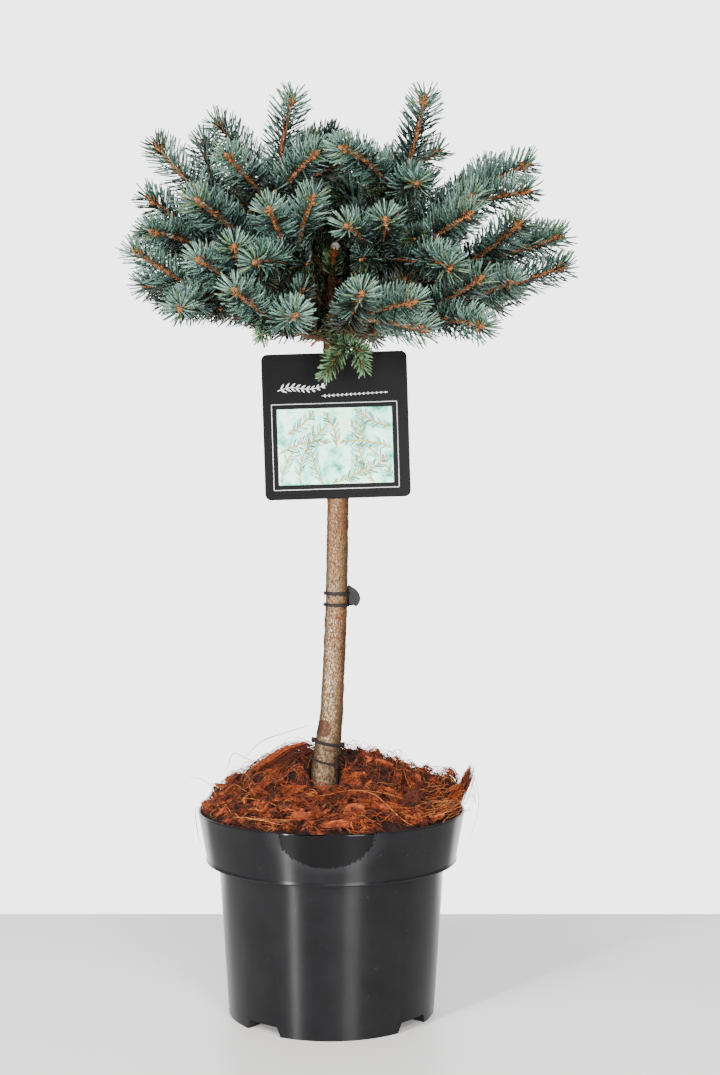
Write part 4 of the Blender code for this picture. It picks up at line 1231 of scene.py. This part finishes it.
def make_leader_cut():
    """The pale wood and sealant on the cut leader."""
    n = Nodes("cut_wood", 0.7)
    pale = shades((0.36, 146, 92, 66), (0.45, 228, 210, 196), (0.60, 255, 252, 248))
    n.colour(n.ramp(n.noise(420, 4, 0.6), pale))
    n.bump(n.noise(600, 4), 0.6, 0.0008)
    height, lean, radius = STEM[-1]
    bm = bmesh.new()
    bmesh.ops.create_icosphere(bm, subdivisions=3, radius=1.0)
    for vert in bm.verts:
        lumps = 1 + 0.24 * noise.noise(vert.co * 2.9)
        x, y, z = vert.co * lumps
        vert.co = Vector((lean + x * 1.14 * radius, y * 1.14 * radius, height - 0.0018 + z * 0.0044))
    mesh = mesh_from("leader_cut", bm)
    mesh.shade_smooth()
    link("leader_cut", mesh, n.mat)


# Ties and label

def stem_ring(height, out, slope=0.0):
    """A closed path round the stem, this far off it, that falls to the right by the slope."""
    lean, radius = stem_at(height)
    size = radius + GAP + out
    turn = np.linspace(0, math.tau, 49)[:-1]
    across = size * np.cos(turn)
    return np.stack((lean + across, size * np.sin(turn), height - slope * across), axis=1)


def closed_band(path, half_width, half_height, sides=10):
    """An endless band round a closed level path."""
    outward = path - path.mean(axis=0)
    outward[:, 2] = 0
    outward = unit(outward)
    angle = math.tau * np.arange(sides) / sides
    ring = (np.cos(angle)[:, None] * outward[:, None, :] * half_width
            + np.sin(angle)[:, None] * UP * half_height)
    points = (path[:, None, :] + ring).reshape(-1, 3)
    return points, [ring_quads(len(path), sides, closed=True)[:, (0, 3, 2, 1)]]


def make_tie(name, heights, half_heights, tilt, outline, depth, heading, mat):
    """Two bands round the stem and the tab between them, and where the bands tilt, a knob at each side."""
    parts = []
    for height, half_height in zip(heights, half_heights):
        slope = (stem_at(height + 0.002)[0] - stem_at(height - 0.002)[0]) / 0.004 + tilt
        parts.append(closed_band(stem_ring(height, BAND_HALF_WIDTH, slope), BAND_HALF_WIDTH, half_height))
        lean, radius = stem_at(height)
        size = radius + GAP + BAND_HALF_WIDTH
        for side in (-1, 1) if tilt else ():
            x = lean + side * (size + 0.0006)
            z = height - slope * size * side
            knob = np.array([(x, 0.0, z + rise) for rise in (-0.0024, -0.0014, 0.0, 0.0014, 0.0024)])
            widths = 1.1 * half_height * np.array((0.3, 0.9, 1.0, 0.9, 0.3))
            parts.append(sweep(knob[None], widths[None], 8))
    link_parts(name + "_bands", parts, mat, "tie_rubber", [name])
    middle, _ = stem_at(sum(heights) / 2)
    tab = round_tab(smooth_outline(outline, 6), depth, middle, math.radians(heading))
    link_parts(name + "_tab", [tab], mat, "tie_rubber", [name])


def round_tab(line, depth, middle, turn):
    """A flat tab of a depth, rounded along its rims, turned about the stem's middle line."""
    along = unit(np.roll(line, -1, axis=0) - np.roll(line, 1, axis=0))
    outward = np.stack((along[:, 1], -along[:, 0]), axis=1)
    area = np.sum(line[:, 0] * np.roll(line[:, 1], -1) - np.roll(line[:, 0], -1) * line[:, 1])
    outward *= np.sign(area)
    # Each rim goes from the flat face, a little inside the outline, round to the full outline
    steps = np.linspace(0, math.pi / 2, 5)
    profile = [(1.8, 0.0)] + [(1 - math.sin(angle), 1 - math.cos(angle)) for angle in steps]
    rings = []
    for side in (-1, 1):
        for inward, back in profile[::-side]:
            out, height = (line - TAB_ROUNDING * inward * outward).T
            level = side * (depth / 2 - TAB_ROUNDING * back)
            x = middle + out * math.cos(turn) - level * math.sin(turn)
            y = out * math.sin(turn) + level * math.cos(turn)
            rings.append(np.stack((x, y, height), axis=1))
    faces = tube_faces(len(rings), len(line))
    if area < 0:
        faces = [f[:, ::-1] for f in faces]
    return np.concatenate(rings), faces


def label_spot(across, up, forward):
    """A place on the label's face, in metres from its middle."""
    widest = max(radius for height, _, radius in STEM if 0.42 < height < 0.55)
    front = -(widest + GAP + LABEL_THICKNESS)
    x = across * math.cos(LABEL_TURN) - up * math.sin(LABEL_TURN) + LABEL_CENTRE[0]
    z = across * math.sin(LABEL_TURN) + up * math.cos(LABEL_TURN) + LABEL_CENTRE[1]
    return Vector((x, front - forward, z))


def plate(name, centre, size, corner, low, high, mat, replaced=(), bevel=0.0):
    """A flat plate with round corners on the label, from one height over its face to another."""
    bm = bmesh.new()
    outline = []
    for quarter, (right, above) in enumerate(((1, 1), (-1, 1), (-1, -1), (1, -1))):
        middle_x = centre[0] + (size[0] / 2 - corner) * right
        middle_z = centre[1] + (size[1] / 2 - corner) * above
        for step in range(9):
            angle = math.radians(90 * quarter + 11.25 * step)
            outline.append((middle_x + corner * math.cos(angle), middle_z + corner * math.sin(angle)))
    face = bm.faces.new([bm.verts.new(label_spot(x, z, high)) for x, z in outline])
    grown = bmesh.ops.extrude_face_region(bm, geom=[face])["geom"]
    moved = [part for part in grown if isinstance(part, bmesh.types.BMVert)]
    bmesh.ops.translate(bm, verts=moved, vec=(0, high - low, 0))
    bmesh.ops.recalc_face_normals(bm, faces=bm.faces[:])
    if bevel:
        rims = [e for e in bm.edges if abs(e.verts[0].co.y - e.verts[1].co.y) < 1e-7]
        bmesh.ops.bevel(bm, geom=rims, offset=bevel, segments=2, affect="EDGES", profile=0.5)
    link(name, mesh_from(name, bm), mat, replaced)


def make_label():
    black = plain_material("label_black", (6, 5, 6), 0.42, 700, 0.05, 0.10)
    white = plain_material("label_white", (214, 218, 216), 0.5, 700, 0.05)
    card = (LABEL_SIZE, LABEL_SIZE)
    plate("label_card", (0, 0), card, LABEL_CORNER, -LABEL_THICKNESS, 0, black, ["label"], 0.00025)
    strap = closed_band(stem_ring(STRAP_HEIGHT, LABEL_THICKNESS / 2), LABEL_THICKNESS / 2, STRAP_WIDTH / 2)
    link_parts("label_strap", [strap], black, "label_card", ["label"])
    for k, (right, above) in enumerate(((0, 0.5), (0, -0.5), (0.5, 0), (-0.5, 0))):
        centre = (PICTURE_CENTRE[0] + right * LINE_SIZE[0], PICTURE_CENTRE[1] + above * LINE_SIZE[1])
        size = [LINE_WIDTH + (0 if aside else length) for aside, length in zip((right, above), LINE_SIZE)]
        plate(f"label_line_{k + 1}", centre, size, 0.0002, PRINT_FOOT, LINE_LEVEL, white)
    n = Nodes("label_picture", 0.4)
    n.colour(n.ramp(n.noise(75, 3, 0.55), shades(
        (0.30, 24, 128, 108), (0.38, 96, 202, 176), (0.46, 160, 236, 208), (0.58, 210, 255, 234),
        (0.72, 196, 236, 140))))
    plate("label_picture", PICTURE_CENTRE, PICTURE_SIZE, 0.0006, PRINT_FOOT, PICTURE_LEVEL, n.mat)
    leaves = {name: [] for name in PRINT_COLOURS}
    for number, (across, up, heading, bend, length) in enumerate(FRONDS):
        frond(leaves, np.array((across, up)), heading, bend, length, number)
    for name, parts in leaves.items():
        mat = plain_material("label_" + name, PRINT_COLOURS[name], 0.4, 700, 0.05)
        link_parts("label_leaves_" + name, parts, mat, "label_card", smooth=False)
    link_parts("label_flourish", flourish(), white, "label_card", smooth=False)


def flourish():
    """A waving branch and a straight sprig, each with pairs of leaves that grow smaller toward its tip."""
    bars = []
    line_level, leaf_level, foot_level = LEAF_LEVELS
    for begin, end, count, wave, length, width in ORNAMENTS:
        begin, end = np.array(begin), np.array(end)
        t = np.linspace(0, 1, 4 * count + 1)[:, None]
        line = begin + (end - begin) * t + np.array((0, wave)) * np.sin(math.tau * t)
        bars.append(strip(line, 0.42 * width, line_level, foot_level))
        for k in range(count):
            foot = line[4 * k + 2]
            along = unit(line[4 * k + 3] - foot)
            for side in (-1, 1):
                aim = unit(along + 0.80 * side * np.array((-along[1], along[0])))
                tip = foot + aim * length * (1 - 0.45 * k / count)
                bars.append(leaf(foot + 0.1 * (tip - foot), tip, width, leaf_level, foot_level))
        bars.append(leaf(line[-2], line[-1] + 0.3 * (line[-1] - line[-5]), width, leaf_level, foot_level))
    return bars


def leaf(foot, tip, half_width, level, low):
    """A thin closed leaf, pointed at both ends, raised off the label's face."""
    along = tip - foot
    aside = np.array((-along[1], along[0])) / np.linalg.norm(along) * half_width
    outline = [foot, foot + 0.3 * along - aside, foot + 0.7 * along - 0.8 * aside,
               tip, foot + 0.7 * along + 0.8 * aside, foot + 0.3 * along + aside]
    points = [label_spot(*spot, height) for height in (level, low) for spot in outline]
    here = np.arange(6)
    return np.array(points), [np.stack((here, 6 + here[::-1])), ring_quads(2, 6)[:, (0, 3, 2, 1)]]


def in_picture(spot, margin):
    return (np.abs(spot - PICTURE_CENTRE) < np.array(PICTURE_SIZE) / 2 - margin).all()


def frond(leaves, spot, heading, bend, length, number):
    """An arching mid-rib with pairs of thin leaflets, printed on the label."""
    steps = int(length / LEAFLET_STEP)
    first_level, rise, foot_level = FROND_LEVELS
    level = first_level + rise * number
    rng = random.Random(number)
    rib = [spot]
    for k in range(steps):
        heading += bend / steps
        turn = math.radians(heading)
        spot = spot + np.array((math.cos(turn), math.sin(turn))) * LEAFLET_STEP
        rib.append(spot)
        size = LEAFLET_LENGTH * math.sin(math.pi * (0.12 + 0.86 * (k + 1) / steps))
        for side in (-1, 1):
            aim = math.radians(heading + side * 46 + rng.uniform(-8, 8))
            tip = spot + np.array((math.cos(aim), math.sin(aim))) * size
            if size > 0.001 and in_picture(tip, 0.0004):
                leaflet = strip(np.array((spot, tip)), LEAFLET_HALF_WIDTH, level, foot_level)
                leaves[rng.choice(LEAFLET_CHOICE)].append(leaflet)
    inside = [place for place in rib if in_picture(place, 0.0006)]
    leaves["straw"].append(strip(np.array(inside), RIB_HALF_WIDTH, level + RIB_LIFT, foot_level))


def strip(line, half_width, level, low):
    """A thin closed ribbon along a line, raised off the label's face."""
    along = unit(np.gradient(line, axis=0))
    aside = np.stack((-along[:, 1], along[:, 0]), axis=1) * half_width
    rows = (line + aside, line - aside)
    points = [label_spot(*spot, height) for height in (level, low) for row in rows for spot in row]
    n = len(line)
    k = np.arange(n - 1)
    top_left, top_right, low_left, low_right = (k + n * j for j in range(4))
    quads = [np.stack((top_left, top_right, top_right + 1, top_left + 1), axis=-1),
             np.stack((low_left + 1, low_right + 1, low_right, low_left), axis=-1),
             np.stack((top_left + 1, low_left + 1, low_left, top_left), axis=-1),
             np.stack((top_right, low_right, low_right + 1, top_right + 1), axis=-1),
             np.array([[0, 2 * n, 3 * n, n], [n - 1, 2 * n - 1, 4 * n - 1, 3 * n - 1]])]
    return np.array(points), [np.concatenate(quads)]


# Crown, by the same rule as part.py

def crown_spot(heading, rise, share):
    return CROWN_CENTRE + CROWN_REACH * share * direction(heading, rise)


def shoot_paths(root_height, sag, shoots, turn=0):
    """The leading shoot of a bough, and those that fork off it."""
    _, heading, rise, share = shoots[0]
    foot = root_height - BOUGH_RADIUS / math.cos(math.radians(rise - sag))
    lean, _ = stem_at(root_height)
    foot_lean, radius = stem_at(foot)
    tip = crown_spot(heading, rise, share)
    off_axis = radius + abs(lean - foot_lean) + GAP
    start = np.array(polar(off_axis, heading + turn, root_height)) + (lean, 0, 0)
    elbow = start + 0.5 * np.linalg.norm(tip - start) * direction(heading + turn / 2, rise - sag)
    leading = curve(start, elbow, tip, PATH_STEPS + 1)
    paths = [leading]
    for fork, *aim in shoots[1:]:
        at = round(fork * PATH_STEPS)
        foot, tip = leading[at], crown_spot(*aim)
        along = unit(leading[at + 1] - leading[at - 1])
        elbow = foot + 0.45 * np.linalg.norm(tip - foot) * unit(0.35 * along + 0.65 * unit(tip - foot))
        paths.append(curve(foot, elbow, tip, 31))
    return paths


def all_boughs():
    boughs = dict(BOUGHS)
    for name, (height, stagger, headings, rise, reach) in BACK_WHORLS.items():
        for k, heading in enumerate(headings):
            lift = rise + 4 * (k % 2)
            shoots = [(0, heading, lift, reach), (0.50, heading + 18, lift - 7, 0.95 * reach),
                      (0.58, heading - 17, lift + 5, 0.96 * reach)]
            if name == "back_mid":
                shoots.append((0.47, heading - 2, lift + 18, reach))
            boughs[f"{name}_{k + 1}"] = (height + stagger * (k % 3), 6, shoots)
    return boughs


def sprig_paths():
    lean, radius = stem_at(SPRIG_ROOT)
    start = np.array((lean, -(radius + 2 * GAP), SPRIG_ROOT))
    elbow, tip = np.array(SPRIG_STEM)
    paths = [curve(start, elbow, tip, 26)]
    for fork, elbow, tip in SPRIGS:
        foot = paths[0][round(fork * 25)]
        paths.append(curve(foot, foot + elbow, foot + tip, 15))
    return paths


def path_frames(path):
    """Directions along a path, with two crossing directions carried on without twist."""
    along = unit(np.gradient(path, axis=0))
    side = np.zeros_like(path)
    current = unit(np.cross(along[0], np.eye(3)[np.argmin(np.abs(along[0]))]))
    for k, a in enumerate(along):
        current = unit(current - a * (current @ a))
        side[k] = current
    return along, side, np.cross(along, side)


def between(values, limits):
    return (values > limits[0]) & (values < limits[1])


def clear_of_wood(points):
    """True where points stay off the trunk and the label."""
    x, y, z = np.moveaxis(points, -1, 0)
    lean, radius = stem_at(z)
    off_stem = (np.hypot(x - lean, y) > radius + 0.0006) | (z > STEM[-1][0] + 0.001)
    on_label = (np.abs(x - LABEL_CENTRE[0]) < LABEL_SIZE / 2) & (z < LABEL_CENTRE[1] + LABEL_SIZE / 2)
    return off_stem & ~(on_label & between(y, LABEL_DEPTHS))


def in_the_open(tips, kind):
    """False for needles that would fill the gap before the cut leader, or hang below the crown."""
    x, y, z = tips.T
    if kind == "sprig":
        return np.ones(len(tips), bool)
    ring_front = RING_FRONT[0] + RING_FRONT[1] * y
    if kind == "ring":
        return ~((y < 0) & (z > ring_front) & between(x, LEADER_GAP))
    ring_low = LEADER_RING[0] - 0.003 + RING_FRONT[1] * y
    before_ring = between(x, RING_GAP) & (y < RING_GAP_BACK) & (z > ring_low)
    low, high = (height + slope * y for height, slope in (LEADER_GAP_LOW, LEADER_GAP_HIGH))
    before = (before_ring | between(x, LEADER_GAP)) & between(y, (-LEADER_GAP_DEPTH, 0))
    before &= (z > low) & (z < high)
    return ~before & ~((z < CROWN_FOOT) & (kind != "outer"))


class Foliage:
    """Collects twigs, needles and buds, and deals the needles out by spray to their colours."""

    def __init__(self):
        self.rng = np.random.default_rng(7)
        self.needles = {}
        self.twigs = []
        self.buds = []

    def twig(self, path, start, end, bumps=0.00036):
        steps = max(6, int(resample(path, 3)[1] / 0.0018))
        line, _ = resample(path, steps)
        radius = np.linspace(start, end, steps) + self.rng.uniform(-bumps, bumps, steps)
        self.twigs.append(sweep(line[None], radius[None], 7))

    def bud(self, spot, along, size):
        """A pointed bud with a swollen, scaly foot."""
        t = np.array((0.0, 0.16, 0.34, 0.56, 0.78, 1.0))
        width = np.array((0.55, 0.95, 1.0, 0.82, 0.50, 0.10)) * BUD_RADIUS * size
        width = width * self.rng.uniform(0.92, 1.08, len(t))
        path = spot + np.outer(t * BUD_LENGTH * size, along)
        self.buds.append(sweep(path[None], width[None], 8))

    def bud_cluster(self, path, count, size=1.0):
        """A bud at a shoot's tip, with smaller ones round it."""
        along = unit(path[-1] - path[-2])
        side = unit(np.cross(along, (0.3, 0.5, 0.8)))
        self.bud(path[-1] - 0.004 * along, along, size)
        for k in range(count):
            turn = math.tau * k / count + self.rng.uniform(-0.4, 0.4)
            out = math.cos(turn) * side + math.sin(turn) * np.cross(along, side)
            self.bud(path[-1] - 0.0065 * along + 0.0012 * out, unit(0.8 * along + 0.75 * out), 0.78 * size)

    def bud_pairs(self, path, shares):
        """Small buds in pairs along a shoot."""
        line, _ = resample(path, LINE_STEPS)
        along, side, _ = path_frames(line)
        for share in shares:
            k = round(share * (LINE_STEPS - 1))
            for out in (side[k], -side[k]):
                spot = line[k] + out * TWIG_TIP_RADIUS * 0.5
                self.bud(spot, unit(0.7 * along[k] + out + 0.3 * UP), self.rng.uniform(0.5, 0.8))

    def brush(self, path, kind, first=0.0, last=1.0, density=1.0, length=1.0, twig_radius=TWIG_TIP_RADIUS,
              spread=62, closing=15):
        """Needles round a stretch of a twig, leaning forward and turning up."""
        rng = self.rng
        line, total = resample(path, LINE_STEPS)
        count = int(total * (last - first) * NEEDLES_PER_METRE * density)
        if count < 3:
            return
        share = np.linspace(first, last, count) + rng.uniform(-0.5, 0.5, count) * (last - first) / count
        share = np.clip(share, 0, 1)
        spot, forward, side, up = (at_shares(rows, share) for rows in (line, *path_frames(line)))
        forward = unit(forward)
        turn = np.arange(count) * GOLDEN_TURN + rng.uniform(-0.25, 0.25, count)
        sky = UP - forward * forward[:, 2:3]
        outward = unit(np.cos(turn)[:, None] * side + np.sin(turn)[:, None] * up + 0.32 * sky)
        to_tip = (1 - share) * total
        near_tip = np.clip(1 - to_tip / TIP_REACH, 0, 1)
        near_foot = np.clip(1 - share * total / FOOT_REACH, 0, 1)
        lean = np.radians(rng.normal(spread, 7, count) - closing * near_tip)
        begin = unit(np.cos(lean)[:, None] * forward + np.sin(lean)[:, None] * outward)
        turned_up = 0.28 * forward + 0.22 * sky * (1 - outward[:, 2:3])
        end = unit(begin + turned_up + rng.normal(0, 0.07, (count, 3)))
        size = NEEDLE_LENGTH * length * rng.uniform(0.91, 1.07, count)
        size = size * (1 - 0.30 * near_tip) * (1 - 0.2 * near_foot)
        base = spot + outward * twig_radius * 0.6
        tips = base + size[:, None] * (0.5 * begin + 0.5 * end)
        middles = 0.5 * (base + tips)
        keep = clear_of_wood(tips) & clear_of_wood(middles)
        keep &= in_the_open(tips, kind) & in_the_open(middles, kind)
        # Tone goes by spray, with a little of each needle's own, and is lighter toward the tip; it is also
        # lighter for needles that point up, a painted highlight of the light from above
        sprays = (share * total / SPRAY_LENGTH).astype(int)
        chance = rng.uniform(0, 1, sprays.max() + 1)[sprays] * 0.6 + rng.uniform(0, 1, count) * 0.4
        tone = chance + 0.20 * outward[:, 2] + 0.10 * (share - 0.5)
        for colour, chosen in self.dealt(kind, tone, to_tip, base):
            chosen = chosen & keep
            if chosen.any():
                rows = (base[chosen], begin[chosen], end[chosen], size[chosen])
                self.needles.setdefault(colour, []).append(rows)

    def dealt(self, kind, tone, to_tip, base):
        """Which needles go to each colour: by tone, but for tender ones at tips and olive ones low down."""
        colours = [colour for _, colour in KINDS[kind]]
        level = np.searchsorted([limit for limit, _ in KINDS[kind][:-1]], tone)
        if kind == "outer":
            tender = self.rng.uniform(0, 1, len(tone)) < TENDER_SHARE
            level[tender & (to_tip < TENDER_REACH)] = len(colours)
            colours.append("tender")
        if kind in ("outer", "inner"):
            x, y, z = base.T
            olive = self.rng.uniform(0, 1, len(tone)) < OLIVE_SHARE
            level[olive & (z < LOW_INSIDE[0]) & (np.hypot(x, y) < LOW_INSIDE[1])] = len(colours)
            colours.append("olive")
        return [(colour, level == k) for k, colour in enumerate(colours)]


def needle_solids(base, begin, end, size, stations, widths):
    """Three-sided pointed needles that bend from one direction to another."""
    count = len(base)
    side = unit(np.cross(begin, (0.31, 0.17, 0.93)))
    up = np.cross(side, begin)
    length = size[:, None]

    def spot(t):
        return base + length * ((t - t * t / 2) * begin + (t * t / 2) * end)

    corners = []
    for t, width in zip(stations, widths):
        for turn in (0, math.tau / 3, 2 * math.tau / 3):
            outward = math.cos(turn) * side + math.sin(turn) * up
            corners.append(spot(t) + 0.5 * NEEDLE_WIDTH * width * outward)
    points = np.stack(corners + [spot(1.0)], axis=1).reshape(-1, 3)
    last = 3 * len(stations)
    first = np.arange(count)[:, None, None] * (last + 1)
    triangles = [[2, 1, 0]] + [[last - 3 + k, last - 3 + (k + 1) % 3, last] for k in range(3)]
    return points, [(first + faces).reshape(-1, faces.shape[1])
                    for faces in (ring_quads(len(stations), 3), np.array(triangles))]


def make_crown():
    foliage = Foliage()
    rng = foliage.rng
    limbs = []
    boughs = {name: shoot_paths(*row, ROOT_TURNS.get(name, 0)) for name, row in all_boughs().items()}
    for leading, *others in boughs.values():
        bough, outer = leading[:BOUGH_STEPS + 1], leading[BOUGH_STEPS:]
        line, _ = resample(bough, 36)
        radius = np.linspace(BOUGH_RADIUS, BOUGH_TIP_RADIUS, 36) + rng.uniform(-0.0003, 0.0003, 36)
        limbs.append(sweep(line[None], radius[None], 10))
        foliage.twig(outer, BOUGH_TIP_RADIUS, TWIG_TIP_RADIUS)
        foliage.brush(outer, "outer")
        foliage.bud_cluster(outer, 3)
        foliage.bud_pairs(outer, (0.42, 0.74))
        foliage.brush(bough, "old", 0.05, density=1.3, length=0.85, twig_radius=BOUGH_RADIUS)
        for path in others:
            foliage.twig(path, TWIG_RADIUS, TWIG_TIP_RADIUS)
            foliage.brush(path, "inner", 0.03, 0.32, 0.9)
            foliage.brush(path, "outer", 0.32)
            foliage.bud_cluster(path, 3, 0.92)
            foliage.bud_pairs(path, (0.76,))
            inner_twig(foliage, path, 0.25, 1)
            inner_twig(foliage, path, 0.38, 4)
        for k in range(INNER_TWIGS):
            inner_twig(foliage, leading, 0.16 + 0.09 * k, k)
    for number, path in enumerate(sprig_paths()):
        foliage.twig(path, 0.0009 if number else 0.0014, 0.0008)
        foliage.brush(path, "sprig", 0.15, length=0.62, twig_radius=0.0010)
        foliage.bud_cluster(path, 0, 0.6)
    for heights, kind, *look in COLLARS:
        leader = np.array([(stem_at(z)[0], 0.0, z) for z in np.linspace(*heights, 12)])
        foliage.brush(leader, kind, 0.0, 1.0, *look, closing=0)
    for name, number, *row in FINER_TWIGS:
        finer_twig(foliage, boughs[name][number], *row)
    make_foliage_pieces(foliage, limbs)


def finer_twig(foliage, path, share, heading, rise, size, kind, length):
    """A twig of the scene off a shoot, with a few buds where it reaches the crown's outside."""
    foot = path[round(share * (len(path) - 1))]
    aim = direction(heading, rise)
    elbow = foot + 0.45 * size * unit(unit(path[-1] - path[0]) + 1.4 * aim)
    line = curve(foot, elbow, foot + size * aim, 16)
    start, end, buds, bud_size = (0.0016, 0.0012, 2, 0.8) if kind == "outer" else (0.0010, 0.0008, 0, 0.5)
    foliage.twig(line, start, end)
    foliage.brush(line, kind, 0.10, length=length, twig_radius=0.0010)
    foliage.bud_cluster(line, buds, bud_size)


def inner_twig(foliage, leading, share, number):
    """A short old twig inside the crown, off the inner part of a bough."""
    rng = foliage.rng
    foot = leading[round(share * (len(leading) - 1))]
    along = unit(leading[-1] - leading[0])
    side = unit(np.cross(along, UP))
    turn = number * 2.4 + rng.uniform(-0.5, 0.5)
    out = math.cos(turn) * side + math.sin(turn) * np.cross(side, along)
    size = rng.uniform(0.030, 0.052)
    aim = unit(along + out)
    path = curve(foot, foot + 0.5 * size * aim, foot + size * aim, 16)
    too_far = np.linalg.norm(path[-1] - CROWN_CENTRE) > INNER_TWIG_REACH * CROWN_REACH
    too_low = path[-1][2] < CROWN_FOOT + 0.012
    if too_far or too_low or not clear_of_wood(path[1:]).all() or not in_the_open(path[4:], "inner").all():
        return
    foliage.twig(path, 0.0014, 0.0010)
    old = math.hypot(foot[0], foot[1]) < OLD_WITHIN[0] and foot[2] < OLD_WITHIN[1]
    foliage.brush(path, "old" if old else "inner", 0.05, 1.0, 0.85, 0.9, 0.0010)
    foliage.bud_cluster(path, 0, 0.7)


def make_foliage_pieces(foliage, limbs):
    boughs, masses = ([name for name in NODES if name.startswith(start)] for start in ("bough_", "mass_"))
    link_parts("bough_bark", limbs, bark_material("bough_bark", *BOUGH_BARK), "bough_bark", boughs)
    link_parts("twigs", foliage.twigs, bark_material("twig_bark", *TWIG_BARK), "bough_bark", masses)
    link_parts("buds", foliage.buds, bark_material("bud_scales", *BUD_SCALES), "bough_bark", masses)
    for colour, rows in foliage.needles.items():
        columns = [np.concatenate(column) for column in zip(*rows)]
        shape = FINE_NEEDLE if colour in FINE_COLOURS else PLAIN_NEEDLE
        triangles_each = 6 * len(shape[0]) - 2
        pieces = math.ceil(len(columns[0]) * triangles_each / PIECE_LIMIT)
        mat = needle_material("needles_" + colour, *NEEDLE_COLOURS[colour])
        slot = "green_needles" if colour in GREEN_COLOURS else "blue_needles"
        for k, chosen in enumerate(np.array_split(np.arange(len(columns[0])), pieces)):
            solids = needle_solids(*(column[chosen] for column in columns), *shape)
            link_parts(f"needles_{colour}_{k + 1}", [solids], mat, slot, masses)


def dress_root_ball():
    n = Nodes("peat", 0.95)
    n.colour(n.ramp(n.noise(240, 6, 0.6), shades((0.3, 30, 20, 14), (0.7, 78, 54, 38))))
    n.bump(n.noise(600, 4), 0.6, 0.001)
    for slot in bpy.data.objects["root_ball"].material_slots:
        slot.material = n.mat


def main():
    make_camera()
    make_world()
    make_lights()
    make_table()
    make_pot()
    dress_root_ball()
    make_heap()
    make_trunk()
    make_leader_cut()
    rubber = plain_material("tie_rubber", (17, 14, 14), 0.62, 500, 0.2, 0.25)
    aged = plain_material("aged_rubber", (34, 26, 25), 0.8, 500, 0.3, 0.15)
    make_tie("upper_tie", UPPER_TIE, (0.0013, 0.0014), 0, HOOK, HOOK_DEPTH, 0, rubber)
    make_tie("lower_tie", LOWER_TIE, (0.0009, 0.0014), LOWER_TIE_TILT,
             BRIDGE, BRIDGE_DEPTH, BRIDGE_HEADING, aged)
    make_label()
    make_crown()


main()
